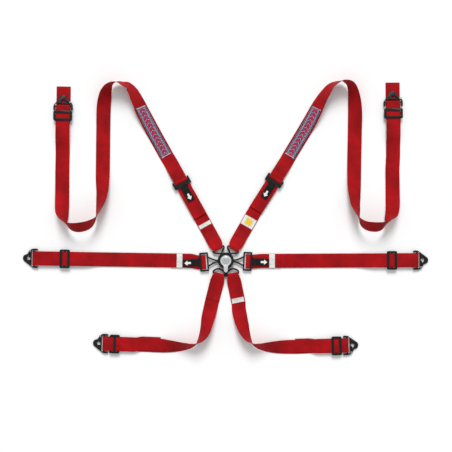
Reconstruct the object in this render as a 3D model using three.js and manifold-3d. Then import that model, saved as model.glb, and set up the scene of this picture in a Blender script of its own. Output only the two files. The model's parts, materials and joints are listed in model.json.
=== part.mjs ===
/**
 * Six-strap racing harness with a rotary cam buckle, lying face up on a flat surface.
 *
 * Millimetres, +Z up, +Y towards the shoulder straps. The origin is the centre of the buckle's
 * back face, which lies on the same plane as the webbing. Every strap is one ribbon of webbing
 * swept through stations; every fitting is its own solid, with a small gap where pieces touch.
 */
import * as THREE from 'three';
import { mergeVertices } from 'three/addons/utils/BufferGeometryUtils.js';
import Module from 'manifold-3d';

const wasm = await Module();
wasm.setup();

// ---------------------------------------------------------------- driving dimensions

// Webbing: standard 50 mm (2 in) polyester.
const WEB_WIDTH = 50;
const WEB_THICK = 1.3;
const GAP = 0.35;
const LIFT = 0.05;
const LAYER = WEB_THICK + GAP;
const EDGE_LIFT = 0.35;
const FLAT = LIFT + WEB_THICK / 2;
const SECOND = FLAT + LAYER;

// Buckle stack, heights above the back face.
const HOUSING_RADIUS = 28.5;
const BACK_TOP = 2.5;
const HOUSING_FOOT = 2.8;
const HOUSING_TOP = 19;
const COVER_FOOT = 19.3;
const COVER_TOP = 21.3;
const HANDLE_FOOT = 21.6;
const HANDLE_TOP = 27;
const HANDLE_RADIUS = 19;
const LEVER_REACH = 41;
const LEVER_WIDTH = 14;
const CAVITY_FLOOR = 10.5;
const CAVITY_RADIUS = 24;
const WELL_RADIUS = 12;
const WELL_FLOOR = 4.8;
const HUB_RADIUS = 4.7;

// Tongues: 3 mm plates with an 11 mm lug, each held by a 5 mm lock pin.
const TONGUE_FOOT = 6;
const TONGUE_TOP = 9;
const TONGUE_MID = (TONGUE_FOOT + TONGUE_TOP) / 2;
const LUG_WIDTH = 11;
const LUG_TIP = 13.5;
const CHANNEL_HALF = LUG_WIDTH / 2 + 0.85;
const PIN_CIRCLE = 18.5;
const PIN_RADIUS = 2.5;
const PIN_FOOT = 5.2;
const PIN_COLLAR = 4;
const BAR_RADIUS = 2.2;
const LOOP_RADIUS = 3.25;
const NECK_WIDTH = 33;
const TONGUE_AZIMUTH = {
  lap_right: -2.5,
  shoulder_right: 57,
  shoulder_left: 123,
  lap_left: 184,
  crotch: 270,
};
const SHOULDER_BAR_REACH = 48.9;

// Lap tongue with its adjuster frame, distances from the buckle centre.
const FRAME_NEAR = 61.4;
const FRAME_FAR = 92.7;
const FRAME_HALF = 33.5;
const FRAME_WINDOW = { near: 66.4, far: 86.7, half: 27.5 };
const GRIP = { near: 73.5, far: 83.5, foot: 5.5, top: 9.5, half: 27.1 };

// Shoulder adjuster, measured from its anchor bar.
const ANCHOR_RADIUS = 1.6;
const ANCHOR_LOOP = 2.65;
const ANCHOR_HEIGHT = LIFT + ANCHOR_LOOP + WEB_THICK / 2;
const TAIL_HEIGHT = ANCHOR_HEIGHT + ANCHOR_LOOP + LAYER;
const CROSSBAR = { near: -13, far: 0, foot: TAIL_HEIGHT + 1.2, top: TAIL_HEIGHT + 4.2 };
const EAR = { far: 14, inner: 26.2, outer: 32 };

// Pull tabs.
const TAB = { width: 25, length: 57, thick: 1, loop: 1.8, pin: 1.1, stand: 3.2 };
const TAB_PIN_HEIGHT = TAIL_HEIGHT + WEB_THICK / 2 + GAP + TAB.thick / 2 + TAB.loop;

// End bracket: teardrop plate, measured from the bar that the webbing loops round.
const PLATE_THICK = 3;
const NOSE_REACH = 40;
const NOSE_RADIUS = 13.5;
const EAR_REACH = 15;
const BRACKET_HALF = 34.3;
const BRACKET_LOOP = 4.85;
const EYE = { x: 18.8, y: 1, length: 13.6, width: 9 };
const BRACKET_SLOT = { near: 3, far: 8.6, half: 28 };
const BRACKET_TILT = 5.6;
const GATE_PIVOT = { x: 13.2, y: -25 };
const GATE_TIP = { x: 23.2, y: -8.6 };

// Slider: frame with two outer bars and a centre bar, the strap passing between them.
const SLIDER = { length: 36, width: 66, window: 52, side: 7, bar: 9, thick: 2.2 };

// Shoulder straps: anchor bar distance, leans away from +Y, tail length.
const SHOULDERS = {
  left: { lowerLean: 28.95, upperLean: 28.95, bend: 150, anchor: 267, tail: 135 },
  right: { lowerLean: 29.9, upperLean: 32.4, bend: 165, anchor: 282, tail: 122 },
};

// ---------------------------------------------------------------- materials

function finish(color, roughness, metalness) {
  return () => new THREE.MeshStandardMaterial({ color, roughness, metalness });
}

const redWebbing = finish(0x9c0f18, 0.85, 0);
const blackWebbing = finish(0x17171a, 0.9, 0);
const blackSteel = finish(0x1c1d1f, 0.45, 0.6);
const blackAlloy = finish(0x121315, 0.5, 0.3);
const silverAlloy = finish(0xc9cbcf, 0.35, 0.9);
const brightSteel = finish(0x8f9296, 0.3, 1);
const navyPatch = finish(0x1d2747, 0.85, 0);

// ---------------------------------------------------------------- solids and booleans

/** The boolean solid of a closed three.js geometry. */
function solid(geometry) {
  const bare = new THREE.BufferGeometry();
  bare.setAttribute('position', geometry.attributes.position.clone());
  if (geometry.index) bare.setIndex(geometry.index.clone());
  const merged = mergeVertices(bare, 1e-4);
  return new wasm.Manifold(new wasm.Mesh({
    numProp: 3,
    vertProperties: Float32Array.from(merged.attributes.position.array),
    triVerts: Uint32Array.from(merged.index.array),
  }));
}

/** A drawable geometry of a boolean solid. */
function geometryOf(body) {
  const { vertProperties, triVerts } = body.getMesh();
  const geometry = new THREE.BufferGeometry();
  geometry.setAttribute('position', new THREE.BufferAttribute(vertProperties, 3));
  geometry.setIndex(new THREE.BufferAttribute(triVerts, 1));
  geometry.computeVertexNormals();
  return geometry;
}

/** The first geometry joined with the others. */
function join(first, ...others) {
  return geometryOf(others.reduce((sum, item) => sum.add(solid(item)), solid(first)));
}

/** The first geometry with the others cut away. */
function cut(first, ...others) {
  return geometryOf(others.reduce((rest, item) => rest.subtract(solid(item)), solid(first)));
}

/** A box between two corners. */
function box(x0, x1, y0, y1, z0, z1) {
  const geometry = new THREE.BoxGeometry(x1 - x0, y1 - y0, z1 - z0);
  return geometry.translate((x0 + x1) / 2, (y0 + y1) / 2, (z0 + z1) / 2);
}

/** An upright cylinder. */
function post(radius, z0, z1, x = 0, y = 0, sides = 24) {
  const geometry = new THREE.CylinderGeometry(radius, radius, z1 - z0, sides);
  return geometry.rotateX(Math.PI / 2).translate(x, y, (z0 + z1) / 2);
}

/** A rod along Y, centred on y = 0. */
function rod(radius, length, x, z, sides = 14) {
  return new THREE.CylinderGeometry(radius, radius, length, sides).translate(x, 0, z);
}

/** A flat plate of the given outline between two heights. */
function plate(shape, z0, z1, curveSegments = 6) {
  const options = { depth: z1 - z0, bevelEnabled: false, curveSegments };
  return new THREE.ExtrudeGeometry(shape, options).translate(0, 0, z0);
}

/** A rectangle with rounded corners. */
function roundedRectangle(x0, x1, y0, y1, r) {
  const shape = new THREE.Shape();
  shape.moveTo(x0 + r, y0);
  shape.lineTo(x1 - r, y0);
  shape.absarc(x1 - r, y0 + r, r, -Math.PI / 2, 0);
  shape.lineTo(x1, y1 - r);
  shape.absarc(x1 - r, y1 - r, r, 0, Math.PI / 2);
  shape.lineTo(x0 + r, y1);
  shape.absarc(x0 + r, y1 - r, r, Math.PI / 2, Math.PI);
  shape.lineTo(x0, y0 + r);
  shape.absarc(x0 + r, y0 + r, r, Math.PI, 1.5 * Math.PI);
  return shape;
}

/** A straight band of the given width between two points in plan. */
function band(from, to, width, z0, z1) {
  const length = Math.hypot(to[0] - from[0], to[1] - from[1]);
  const geometry = box(0, length, -width / 2, width / 2, z0, z1);
  geometry.rotateZ(Math.atan2(to[1] - from[1], to[0] - from[0]));
  return geometry.translate(from[0], from[1], 0);
}

/** A strip of even width that follows a smooth curve through points in plan. */
function strip(points, width, z0, z1, steps = 8) {
  const curve = new THREE.SplineCurve(points.map(([x, y]) => new THREE.Vector2(x, y)));
  const near = [];
  const far = [];
  for (let step = 0; step <= steps; step += 1) {
    const place = curve.getPoint(step / steps);
    const along = curve.getTangent(step / steps);
    const sideways = new THREE.Vector2(-along.y, along.x).multiplyScalar(width / 2);
    near.push(place.clone().sub(sideways));
    far.unshift(place.clone().add(sideways));
  }
  return plate(new THREE.Shape([...near, ...far]), z0, z1);
}

// ---------------------------------------------------------------- ribbons

const radians = THREE.MathUtils.degToRad;

/**
 * A line on one side of the harness. Its u axis runs along the heading, measured from the
 * outward direction, and everything on the left is the mirror image of the right.
 */
class Line {
  constructor(side, x, y, heading) {
    this.side = side;
    this.x = x;
    this.y = y;
    this.heading = heading;
  }

  /** The plan position at a distance along the line. */
  at(u) {
    const angle = radians(this.heading);
    return [this.x + u * Math.cos(angle), this.y + u * Math.sin(angle)];
  }

  /** A ribbon station at a distance along the line and a height. */
  station(u, z, width = WEB_WIDTH, flipped = false) {
    const [x, y] = this.at(u);
    const angle = radians(this.heading);
    const sign = flipped ? -1 : 1;
    const across = new THREE.Vector3(sign * this.side * Math.sin(angle), -sign * Math.cos(angle), 0);
    return { point: new THREE.Vector3(this.side * x, y, z), across, width };
  }

  /** Stations through a list of [u, z] or [u, z, width] entries. */
  stations(entries, flipped = false) {
    return entries.map(([u, z, width]) => this.station(u, z, width, flipped));
  }

  /** A group whose +X runs along the line, for the fittings on it. */
  group(u, z = 0) {
    const [x, y] = this.at(u);
    const group = new THREE.Group();
    group.position.set(this.side * x, y, z);
    group.rotation.z = this.side > 0 ? radians(this.heading) : Math.PI - radians(this.heading);
    return group;
  }

  /** The same line moved along itself. */
  moved(u, turn = 0) {
    const [x, y] = this.at(u);
    return new Line(this.side, x, y, this.heading + turn);
  }
}

/** Points of a round bend in (u, z), by angle in degrees from +u towards +z. */
function bend(u, z, radius, from, to, steps = 6) {
  const points = [];
  for (let step = 0; step <= steps; step += 1) {
    const angle = radians(from + ((to - from) * step) / steps);
    points.push([u + radius * Math.cos(angle), z + radius * Math.sin(angle)]);
  }
  return points;
}

/**
 * Stations of a ribbon that turns over as it goes. Each entry is [x, y, clearance, roll]: the
 * place of the centreline, how far the lower edge is off the ground, and the roll in degrees.
 */
function rollingStations(side, entries, perSegment) {
  const plan = entries.map(([x, y]) => new THREE.Vector2(x, y));
  const places = [];
  const acrosses = [];
  entries.forEach(([x, y, clearance, roll], index) => {
    const before = plan[Math.max(index - 1, 0)];
    const after = plan[Math.min(index + 1, plan.length - 1)];
    const heading = Math.atan2(after.y - before.y, after.x - before.x);
    const rise = Math.sin(radians(roll));
    const flat = Math.cos(radians(roll));
    const half = (WEB_WIDTH * Math.abs(rise) + WEB_THICK * Math.abs(flat)) / 2;
    places.push(new THREE.Vector3(x, y, EDGE_LIFT + clearance + half));
    acrosses.push(new THREE.Vector3(flat * Math.sin(heading), -flat * Math.cos(heading), rise));
  });
  const path = new THREE.CatmullRomCurve3(places, false, 'centripetal');
  const edge = new THREE.CatmullRomCurve3(acrosses, false, 'catmullrom', 0.5);
  const count = (entries.length - 1) * perSegment;
  const stations = [];
  for (let step = 0; step <= count; step += 1) {
    const point = path.getPoint(step / count);
    const tangent = path.getTangent(step / count);
    const across = edge.getPoint(step / count).normalize();
    across.addScaledVector(tangent, -across.dot(tangent)).normalize();
    const upright = Math.abs(across.z);
    const half = (WEB_WIDTH * upright + WEB_THICK * Math.sqrt(1 - upright * upright)) / 2;
    point.z = Math.max(point.z, EDGE_LIFT + half);
    point.x *= side;
    across.x *= side;
    stations.push({ point, across, width: WEB_WIDTH });
  }
  return stations;
}

/** The face direction of a ribbon at each station, lengthened at corners to keep its thickness. */
function faceDirections(stations) {
  return stations.map((station, index) => {
    const before = stations[Math.max(index - 1, 0)].point;
    const after = stations[Math.min(index + 1, stations.length - 1)].point;
    const arriving = station.point.clone().sub(before);
    const leaving = after.clone().sub(station.point);
    if (arriving.length() === 0) arriving.copy(leaving);
    if (leaving.length() === 0) leaving.copy(arriving);
    const first = arriving.normalize().cross(station.across).normalize();
    const second = leaving.normalize().cross(station.across).normalize();
    const face = first.clone().add(second).normalize();
    return face.multiplyScalar(1 / Math.max(0.6, face.dot(second)));
  });
}

/** A closed ribbon through the stations. */
function ribbon(stations, thickness = WEB_THICK, offset = 0) {
  const faces = faceDirections(stations);
  const positions = [];
  stations.forEach(({ point, across, width }, index) => {
    [[-1, -1], [1, -1], [1, 1], [-1, 1]].forEach(([sideways, upwards]) => {
      const corner = point.clone();
      corner.addScaledVector(across, (sideways * width) / 2);
      corner.addScaledVector(faces[index], offset + (upwards * thickness) / 2);
      positions.push(corner.x, corner.y, corner.z);
    });
  });
  const last = 4 * (stations.length - 1);
  const triangles = [0, 2, 1, 0, 3, 2, last, last + 1, last + 2, last, last + 2, last + 3];
  for (let section = 0; section < last; section += 4) {
    const [a, b, c, d] = [section, section + 1, section + 2, section + 3];
    triangles.push(a, b, b + 4, a, b + 4, a + 4);
    triangles.push(b, c, c + 4, b, c + 4, b + 4);
    triangles.push(c, d, c + 4, d, d + 4, c + 4);
    triangles.push(d, a, a + 4, d, a + 4, d + 4);
  }
  return outward(positions, triangles);
}

/** A geometry from positions and triangles, turned inside out if its volume is negative. */
function outward(positions, triangles) {
  const corner = (index) => new THREE.Vector3().fromArray(positions, 3 * index);
  let volume = 0;
  for (let index = 0; index < triangles.length; index += 3) {
    const [a, b, c] = triangles.slice(index, index + 3).map(corner);
    volume += a.dot(b.cross(c));
  }
  if (volume < 0) triangles.reverse();
  const geometry = new THREE.BufferGeometry();
  geometry.setAttribute('position', new THREE.Float32BufferAttribute(positions, 3));
  geometry.setIndex(triangles);
  geometry.computeVertexNormals();
  return geometry;
}

// ---------------------------------------------------------------- assembly

const harness = new THREE.Group();

/** Adds a named mesh to a parent and returns it. */
function add(name, geometry, makeMaterial, parent = harness) {
  const mesh = new THREE.Mesh(geometry, makeMaterial());
  mesh.name = name;
  parent.add(mesh);
  return mesh;
}

/** A group turned to an azimuth about the buckle's axis. */
function spoke(azimuth) {
  const group = new THREE.Group();
  group.rotation.z = radians(azimuth);
  harness.add(group);
  return group;
}

// ---------------------------------------------------------------- buckle

const SCREW_AZIMUTHS = [90, 227, 313];
const SCREW_CIRCLE = 23.2;

function addBuckle() {
  const around = (azimuth, radius) => [
    radius * Math.cos(radians(azimuth)),
    radius * Math.sin(radians(azimuth)),
  ];

  const screwPlaces = SCREW_AZIMUTHS.map((azimuth) => around(azimuth, SCREW_CIRCLE));
  const sinks = screwPlaces.map(([x, y]) => post(3.6, -1, 1.5, x, y, 10));
  const clearances = screwPlaces.map(([x, y]) => post(2.3, 1, 3, x, y, 8));
  const back = post(HOUSING_RADIUS - 0.5, 0, BACK_TOP, 0, 0, 36);
  add('buckle_back_plate', cut(back, ...sinks, ...clearances), blackSteel);

  const channels = Object.values(TONGUE_AZIMUTH).map((azimuth) => {
    const channel = box(8, 40, -CHANNEL_HALF, CHANNEL_HALF, TONGUE_FOOT - GAP, TONGUE_TOP + GAP);
    return channel.rotateZ(radians(azimuth));
  });
  const bores = Object.values(TONGUE_AZIMUTH).map((azimuth) => {
    const [x, y] = around(azimuth, PIN_CIRCLE);
    return post(PIN_RADIUS + GAP, WELL_FLOOR, CAVITY_FLOOR + 1, x, y, 10);
  });
  const threads = screwPlaces.map(([x, y]) => post(2.2, 2, 8.4, x, y, 8));
  const housing = cut(
    post(HOUSING_RADIUS, HOUSING_FOOT, HOUSING_TOP, 0, 0, 36),
    post(WELL_RADIUS, WELL_FLOOR, HOUSING_TOP + 1, 0, 0, 20),
    post(CAVITY_RADIUS, CAVITY_FLOOR, HOUSING_TOP + 1, 0, 0, 24),
    ...channels,
    ...bores,
    ...threads,
  );
  add('buckle_housing', housing, blackAlloy);

  screwPlaces.forEach(([x, y], index) => {
    const head = cut(post(3.2, 0.2, 1.3, x, y, 10), box(x - 2.4, x + 2.4, y - 0.4, y + 0.4, 0, 0.8));
    const screw = join(head, post(1.8, 1.2, 8, x, y, 8));
    add(`back_screw_${index + 1}`, screw, brightSteel);
  });

  const cover = cut(
    post(HOUSING_RADIUS - 0.6, COVER_FOOT, COVER_TOP, 0, 0, 40),
    post(HUB_RADIUS + GAP, 18, 23, 0, 0, 16),
  );
  add('buckle_cover', cover, blackAlloy);

  Object.entries(TONGUE_AZIMUTH).forEach(([name, azimuth]) => {
    const pin = join(post(PIN_RADIUS, PIN_FOOT, 13.3, 0, 0, 10), post(PIN_COLLAR, 11, 12.4, 0, 0, 10));
    const mesh = add(`lock_pin_${name}`, pin, brightSteel);
    mesh.position.set(...around(azimuth, PIN_CIRCLE), 0);
  });

  const lobes = Object.values(TONGUE_AZIMUTH).map((azimuth) => {
    return box(8, 13.8, -3, 3, 11.2, 13.6).rotateZ(radians(azimuth + 16));
  });
  const rotor = join(post(10.8, 11.2, 13.6, 0, 0, 20), post(HUB_RADIUS, 13, 21.3, 0, 0, 12), ...lobes);
  add('cam_rotor', cut(rotor, post(2.7, 10, 22, 0, 0, 10)), brightSteel);

  const screwHead = cut(post(4.2, 8.4, 10.8, 0, 0, 12), post(1.7, 7, 9.8, 0, 0, 6));
  add('centre_screw', join(screwHead, post(2.35, 10.5, 25, 0, 0, 10)), brightSteel);
  add('return_spring', springCoil(7.6, 0.7, 15.2, 18.2, 2.5), brightSteel);
  add('release_handle', handle(), silverAlloy);
}

/** A round-wire coil about Z. */
function springCoil(radius, wire, z0, z1, turns) {
  class Helix extends THREE.Curve {
    getPoint(t, target = new THREE.Vector3()) {
      const angle = 2 * Math.PI * turns * t;
      return target.set(radius * Math.cos(angle), radius * Math.sin(angle), z0 + (z1 - z0) * t);
    }
  }
  const section = new THREE.Shape();
  section.absarc(0, 0, wire, 0, 2 * Math.PI);
  const steps = Math.round(12 * turns);
  return new THREE.ExtrudeGeometry(section, { steps, curveSegments: 3, extrudePath: new Helix() });
}

/** The turning handle: a round knob with one lever arm towards -Y. */
function handle() {
  const shape = new THREE.Shape();
  const half = LEVER_WIDTH / 2;
  const spread = Math.asin((half + 2.4) / HANDLE_RADIUS);
  shape.absarc(0, 0, HANDLE_RADIUS, -Math.PI / 2 + spread, 1.5 * Math.PI - spread, false);
  shape.quadraticCurveTo(-half, -HANDLE_RADIUS - 1, -half + 0.6, -LEVER_REACH + half);
  shape.absarc(0, -LEVER_REACH + half - 0.6, half - 0.6, Math.PI, 2 * Math.PI, false);
  shape.quadraticCurveTo(half, -HANDLE_RADIUS - 1, half + 2.4, -HANDLE_RADIUS * Math.cos(spread));
  const body = plate(shape, HANDLE_FOOT, HANDLE_TOP, 14);
  return cut(body, post(2.7, 20, 25.3, 0, 0, 10), post(14.6, 26.4, 28, 0, 0, 28));
}

// ---------------------------------------------------------------- tongues

/** The lug of a tongue, along +X from inside the housing to a reach, with its lock pin hole. */
function lug(reach) {
  const half = LUG_WIDTH / 2;
  const shape = new THREE.Shape();
  shape.moveTo(LUG_TIP, -half + 2.2);
  shape.lineTo(LUG_TIP + 2.2, -half);
  shape.lineTo(reach, -half);
  shape.lineTo(reach, half);
  shape.lineTo(LUG_TIP + 2.2, half);
  shape.lineTo(LUG_TIP, half - 2.2);
  return plate(shape, TONGUE_FOOT, TONGUE_TOP);
}

function pinHole() {
  return post(PIN_RADIUS + GAP, 0, 20, PIN_CIRCLE, 0, 10);
}

/** A round webbing bar across +X with a hub at each end. */
function webbingBar(x, y, turn, length) {
  const bar = rod(BAR_RADIUS, length, 0, TONGUE_MID, 10);
  return bar.rotateZ(turn).translate(x, y, 0);
}

/** A shoulder tongue: the lug forks into two arms that hold the webbing bar. */
function shoulderTongue(barTurn) {
  const half = 20.5;
  const arm = 5.6;
  const end = (sign) => [
    SHOULDER_BAR_REACH - sign * half * Math.sin(barTurn),
    sign * half * Math.cos(barTurn),
  ];
  const arms = [1, -1].flatMap((sign) => {
    const [x, y] = end(sign);
    const route = [[32, sign * 3], [36, sign * 10], [x - 6.5, y * 0.94], [x, y]];
    return [
      strip(route, arm, TONGUE_FOOT, TONGUE_TOP),
      post(arm / 2 + 0.3, TONGUE_FOOT, TONGUE_TOP, x, y, 10),
    ];
  });
  const bar = webbingBar(SHOULDER_BAR_REACH, 0, barTurn, 2 * half);
  return cut(join(lug(33), ...arms, bar), pinHole());
}

/** A lap tongue: the lug forks into the adjuster frame that the lap webbing doubles round. */
function lapTongue() {
  const outline = roundedRectangle(FRAME_NEAR, FRAME_FAR, -FRAME_HALF, FRAME_HALF, 2.5);
  const { near, far, half } = FRAME_WINDOW;
  outline.holes.push(roundedRectangle(near, far, -half, half, 1.2));
  const frame = plate(outline, TONGUE_FOOT, TONGUE_TOP, 3);
  const arms = [1, -1].map((sign) => {
    const route = [[33, sign * 2.6], [42, sign * 5.4], [51, sign * 9.6], [FRAME_NEAR + 2, sign * 16]];
    return strip(route, 5.6, TONGUE_FOOT, TONGUE_TOP);
  });
  const lugs = [1, -1].map((sign) => {
    const x = FRAME_FAR - 1.5;
    return box(x, x + 6.4, sign * 15.4 - 1.6, sign * 15.4 + 1.6, TONGUE_FOOT, TONGUE_TOP);
  });
  const tabPin = rod(TAB.pin, 31, FRAME_FAR + TAB.stand, TONGUE_MID, 8);
  const pockets = [1, -1].map((sign) => {
    const y = sign * (FRAME_WINDOW.half + 1);
    return box(75.2, 81.9, y - 2.2, y + 2.2, TONGUE_MID - 1, TONGUE_MID + 1);
  });
  const holes = [-18, -9, 9, 18].map((y) => post(1.2, 0, 12, FRAME_FAR - 2.7, y, 6));
  return cut(
    join(lug(38), frame, ...arms, ...lugs, tabPin),
    pinHole(),
    post(1.3, 0, 12, 34.5, 0, 8),
    ...pockets,
    ...holes,
  );
}

/** The loose grip bar that clamps the lap webbing in its frame, with a tenon at each end. */
function lapGripBar() {
  const { near, far, foot, top, half } = GRIP;
  const section = roundedRectangle(near, far, foot, top, 1.9);
  const bar = plate(section, -half, half, 3).rotateX(Math.PI / 2);
  const tenon = box(76.6, 80.4, -half - 2.4, half + 2.4, TONGUE_MID - 0.7, TONGUE_MID + 0.7);
  return join(bar, tenon);
}

// Crotch yoke, in the spoke's own axes: +X towards the crotch straps, +Y towards the right.
const YOKE_BAR = { reach: 48, offset: 24, half: 20.8 };

/** The crotch tongue: one lug with a loop on each side for the two crotch straps. */
function crotchYoke(leans) {
  const pieces = [box(30, 57, -6.5, 6.5, TONGUE_FOOT, TONGUE_TOP)];
  [1, -1].forEach((sign) => {
    const lean = radians(sign > 0 ? leans.right : leans.left) * sign;
    const end = (distance) => [
      YOKE_BAR.reach - distance * Math.sin(lean),
      sign * YOKE_BAR.offset + distance * Math.cos(lean),
    ];
    const outer = end(sign * YOKE_BAR.half);
    const inner = end(-sign * YOKE_BAR.half);
    const route = [outer, [38, 44.5], [31.5, 36], [29.5, 25.5], [32.5, 15], [40, 6]];
    const mirrored = route.map(([x, y]) => [x, sign * Math.abs(y)]);
    pieces.push(strip(mirrored, 5.8, TONGUE_FOOT, TONGUE_TOP, 10));
    pieces.push(post(2.6, TONGUE_FOOT, TONGUE_TOP, ...outer, 10));
    pieces.push(post(2.6, TONGUE_FOOT, TONGUE_TOP, ...inner, 10));
    pieces.push(webbingBar(YOKE_BAR.reach, sign * YOKE_BAR.offset, lean, 2 * YOKE_BAR.half));
  });
  return cut(join(lug(40), ...pieces), pinHole());
}

// ---------------------------------------------------------------- fittings on the webbing

/** The shoulder adjuster, with +X away from the buckle and its anchor bar over x = 0. */
function shoulderAdjuster() {
  const { near, far, foot, top } = CROSSBAR;
  const crossbar = box(near, far, -EAR.outer, EAR.outer, foot, top);
  const ears = [1, -1].map((sign) => {
    const side = roundedRectangle(near, EAR.far, 0.3, top, 2.4);
    const ear = plate(side, 0, EAR.outer - EAR.inner, 3).rotateX(Math.PI / 2);
    return ear.translate(0, sign > 0 ? EAR.outer : -EAR.inner, 0);
  });
  const lugs = [1, -1].map((sign) => {
    return box(near - 5, near + 2, sign * 15.4 - 1.6, sign * 15.4 + 1.6, foot, top + 0.6);
  });
  const anchor = rod(ANCHOR_RADIUS, 2 * EAR.outer - 2, 0, ANCHOR_HEIGHT, 8);
  const tabPin = rod(TAB.pin, 31, near - TAB.stand, TAB_PIN_HEIGHT, 8);
  const holes = [-18, -9, 9, 18].map((y) => post(1.2, 0, 20, -4.2, y, 6));
  const bores = rod(2.9, 2 * EAR.outer - 4, 9, TAIL_HEIGHT - 3.5, 12);
  return cut(join(crossbar, ...ears, ...lugs, anchor, tabPin), ...holes, bores);
}

/** The round grip bar under the strap in a shoulder adjuster. */
function shoulderGripBar() {
  return rod(2.5, 2 * EAR.outer - 4.8, 9, TAIL_HEIGHT - 3.5, 12);
}

/** Stations of a pull tab folded round its pin; +X of the line is the way it points. */
function tabStations(line, pinU, pinZ, restZ) {
  const free = pinU + TAB.length;
  const under = line.stations([[free, restZ, TAB.width], [pinU + 12, pinZ - TAB.loop, TAB.width]]);
  const loop = bend(pinU, pinZ, TAB.loop, 270, 90, 6).map(([u, z]) => [u, z, TAB.width]);
  const over = [[pinU + 12, pinZ + TAB.loop, TAB.width], [free, restZ + TAB.thick + GAP, TAB.width]];
  return [...under, ...line.stations(loop), ...line.stations(over)];
}

/** The teardrop end bracket, about the bar that the webbing loops round, +X to the nose. */
function endBracket() {
  const nose = NOSE_REACH - NOSE_RADIUS;
  const shape = new THREE.Shape();
  shape.moveTo(-EAR_REACH + 5, BRACKET_HALF);
  shape.absarc(-EAR_REACH + 5, BRACKET_HALF - 5, 5, Math.PI / 2, Math.PI, false);
  shape.lineTo(-EAR_REACH, BRACKET_SLOT.half);
  shape.lineTo(-3, BRACKET_SLOT.half);
  shape.lineTo(-3, -BRACKET_SLOT.half);
  shape.lineTo(-EAR_REACH, -BRACKET_SLOT.half);
  shape.absarc(-EAR_REACH + 5, -BRACKET_HALF + 5, 5, Math.PI, 1.5 * Math.PI, false);
  shape.lineTo(3, -BRACKET_HALF);
  shape.quadraticCurveTo(12, -BRACKET_HALF + 1, 17, -24);
  shape.quadraticCurveTo(20, -17.5, 22.5, -15.5);
  shape.lineTo(27.5, -13.4);
  shape.absarc(nose, 0, NOSE_RADIUS, radians(-84), radians(45), false);
  shape.lineTo(9, BRACKET_HALF - 5);
  shape.quadraticCurveTo(4, BRACKET_HALF, -3, BRACKET_HALF);
  const { near, far, half } = BRACKET_SLOT;
  shape.holes.push(roundedRectangle(near, far, -half, half, 1.5));
  const eyeX = [EYE.x - EYE.length / 2, EYE.x + EYE.length / 2];
  const eyeY = [EYE.y - EYE.width / 2, EYE.y + EYE.width / 2];
  shape.holes.push(roundedRectangle(...eyeX, ...eyeY, 4.4));
  const body = plate(shape, -PLATE_THICK / 2, PLATE_THICK / 2, 3);
  const mouth = box(18.4, 24.6, -26, EYE.y, -3, 3);
  const pivot = post(3, -3, 3, GATE_PIVOT.x, GATE_PIVOT.y, 10);
  return cut(body, mouth, pivot);
}

/** The spring gate that closes the bracket's mouth: a lever on a pivot boss. */
function bracketGate() {
  const { x, y } = GATE_PIVOT;
  const z0 = PLATE_THICK / 2 + GAP;
  const lever = band([x, y], [GATE_TIP.x, GATE_TIP.y], 6.4, z0, z0 + 2);
  const tip = post(3.8, z0, z0 + 2, GATE_TIP.x, GATE_TIP.y, 10);
  const hub = post(4.2, z0, z0 + 2, x, y, 12);
  const boss = post(2.6, -PLATE_THICK / 2, z0 + 0.5, x, y, 10);
  return join(lever, tip, hub, boss);
}

/**
 * The slider about the strap's centre height: the outer bars on one face of the strap and the
 * centre bar on the other, joined by side rails beside the strap.
 */
function sliderFrame(centreBarBelow) {
  const { length, width, window, side, bar, thick } = SLIDER;
  const half = width / 2;
  const reach = LAYER - WEB_THICK / 2;
  const outerZ = centreBarBelow ? [reach - 0.3, reach - 0.3 + thick] : [-reach + 0.3 - thick, -reach + 0.3];
  const centreZ = centreBarBelow ? [-reach + 0.3 - thick, -reach + 0.3] : [reach - 0.3, reach - 0.3 + thick];
  const rails = roundedRectangle(-length / 2, length / 2, -half, half, 6);
  rails.holes.push(roundedRectangle(-length / 2 + 1, length / 2 - 1, -window / 2, window / 2, 0.8));
  const lowest = Math.min(outerZ[0], centreZ[0]);
  const highest = Math.max(outerZ[1], centreZ[1]);
  const frame = plate(rails, lowest, highest, 4);
  const sideStrips = cut(frame, box(-half, half, -window / 2, window / 2, lowest - 1, highest + 1));
  const bars = [-1, 1].map((sign) => {
    const centre = (sign * (length - bar)) / 2;
    return box(centre - bar / 2, centre + bar / 2, -window / 2 - 1, window / 2 + 1, ...outerZ);
  });
  const centreBar = box(-4, 4, -window / 2 - side / 2, window / 2 + side / 2, ...centreZ);
  return join(centreBar, sideStrips, ...bars);
}

/** Adds a bracket and its gate at a line's end, nose along the line. */
function addEndBracket(name, line, barHeight) {
  const group = line.group(0, barHeight);
  harness.add(group);
  const tilted = new THREE.Group();
  tilted.rotation.y = radians(BRACKET_TILT);
  group.add(tilted);
  add(`end_bracket_${name}`, endBracket(), blackSteel, tilted);
  add(`bracket_gate_${name}`, bracketGate(), blackSteel, tilted);
}

/** Adds a slider on a line at a distance behind the bracket bar. */
function addSlider(name, line, behind, height, centreBarBelow) {
  const group = line.group(-behind, height);
  harness.add(group);
  add(`slider_${name}`, sliderFrame(centreBarBelow), blackSteel, group);
}

// ---------------------------------------------------------------- lap straps

// The webbing leaves the grip bar, runs out to the bracket on top, and returns underneath.
const LAPS = {
  left: { y: -3.6, heading: 0.95, bar: 680, slider: 110, tail: 350 },
  right: { y: -2.6, heading: 0.3, bar: 678, slider: 90, tail: 362 },
};
const ADJUSTER_TAIL = 195;

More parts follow.
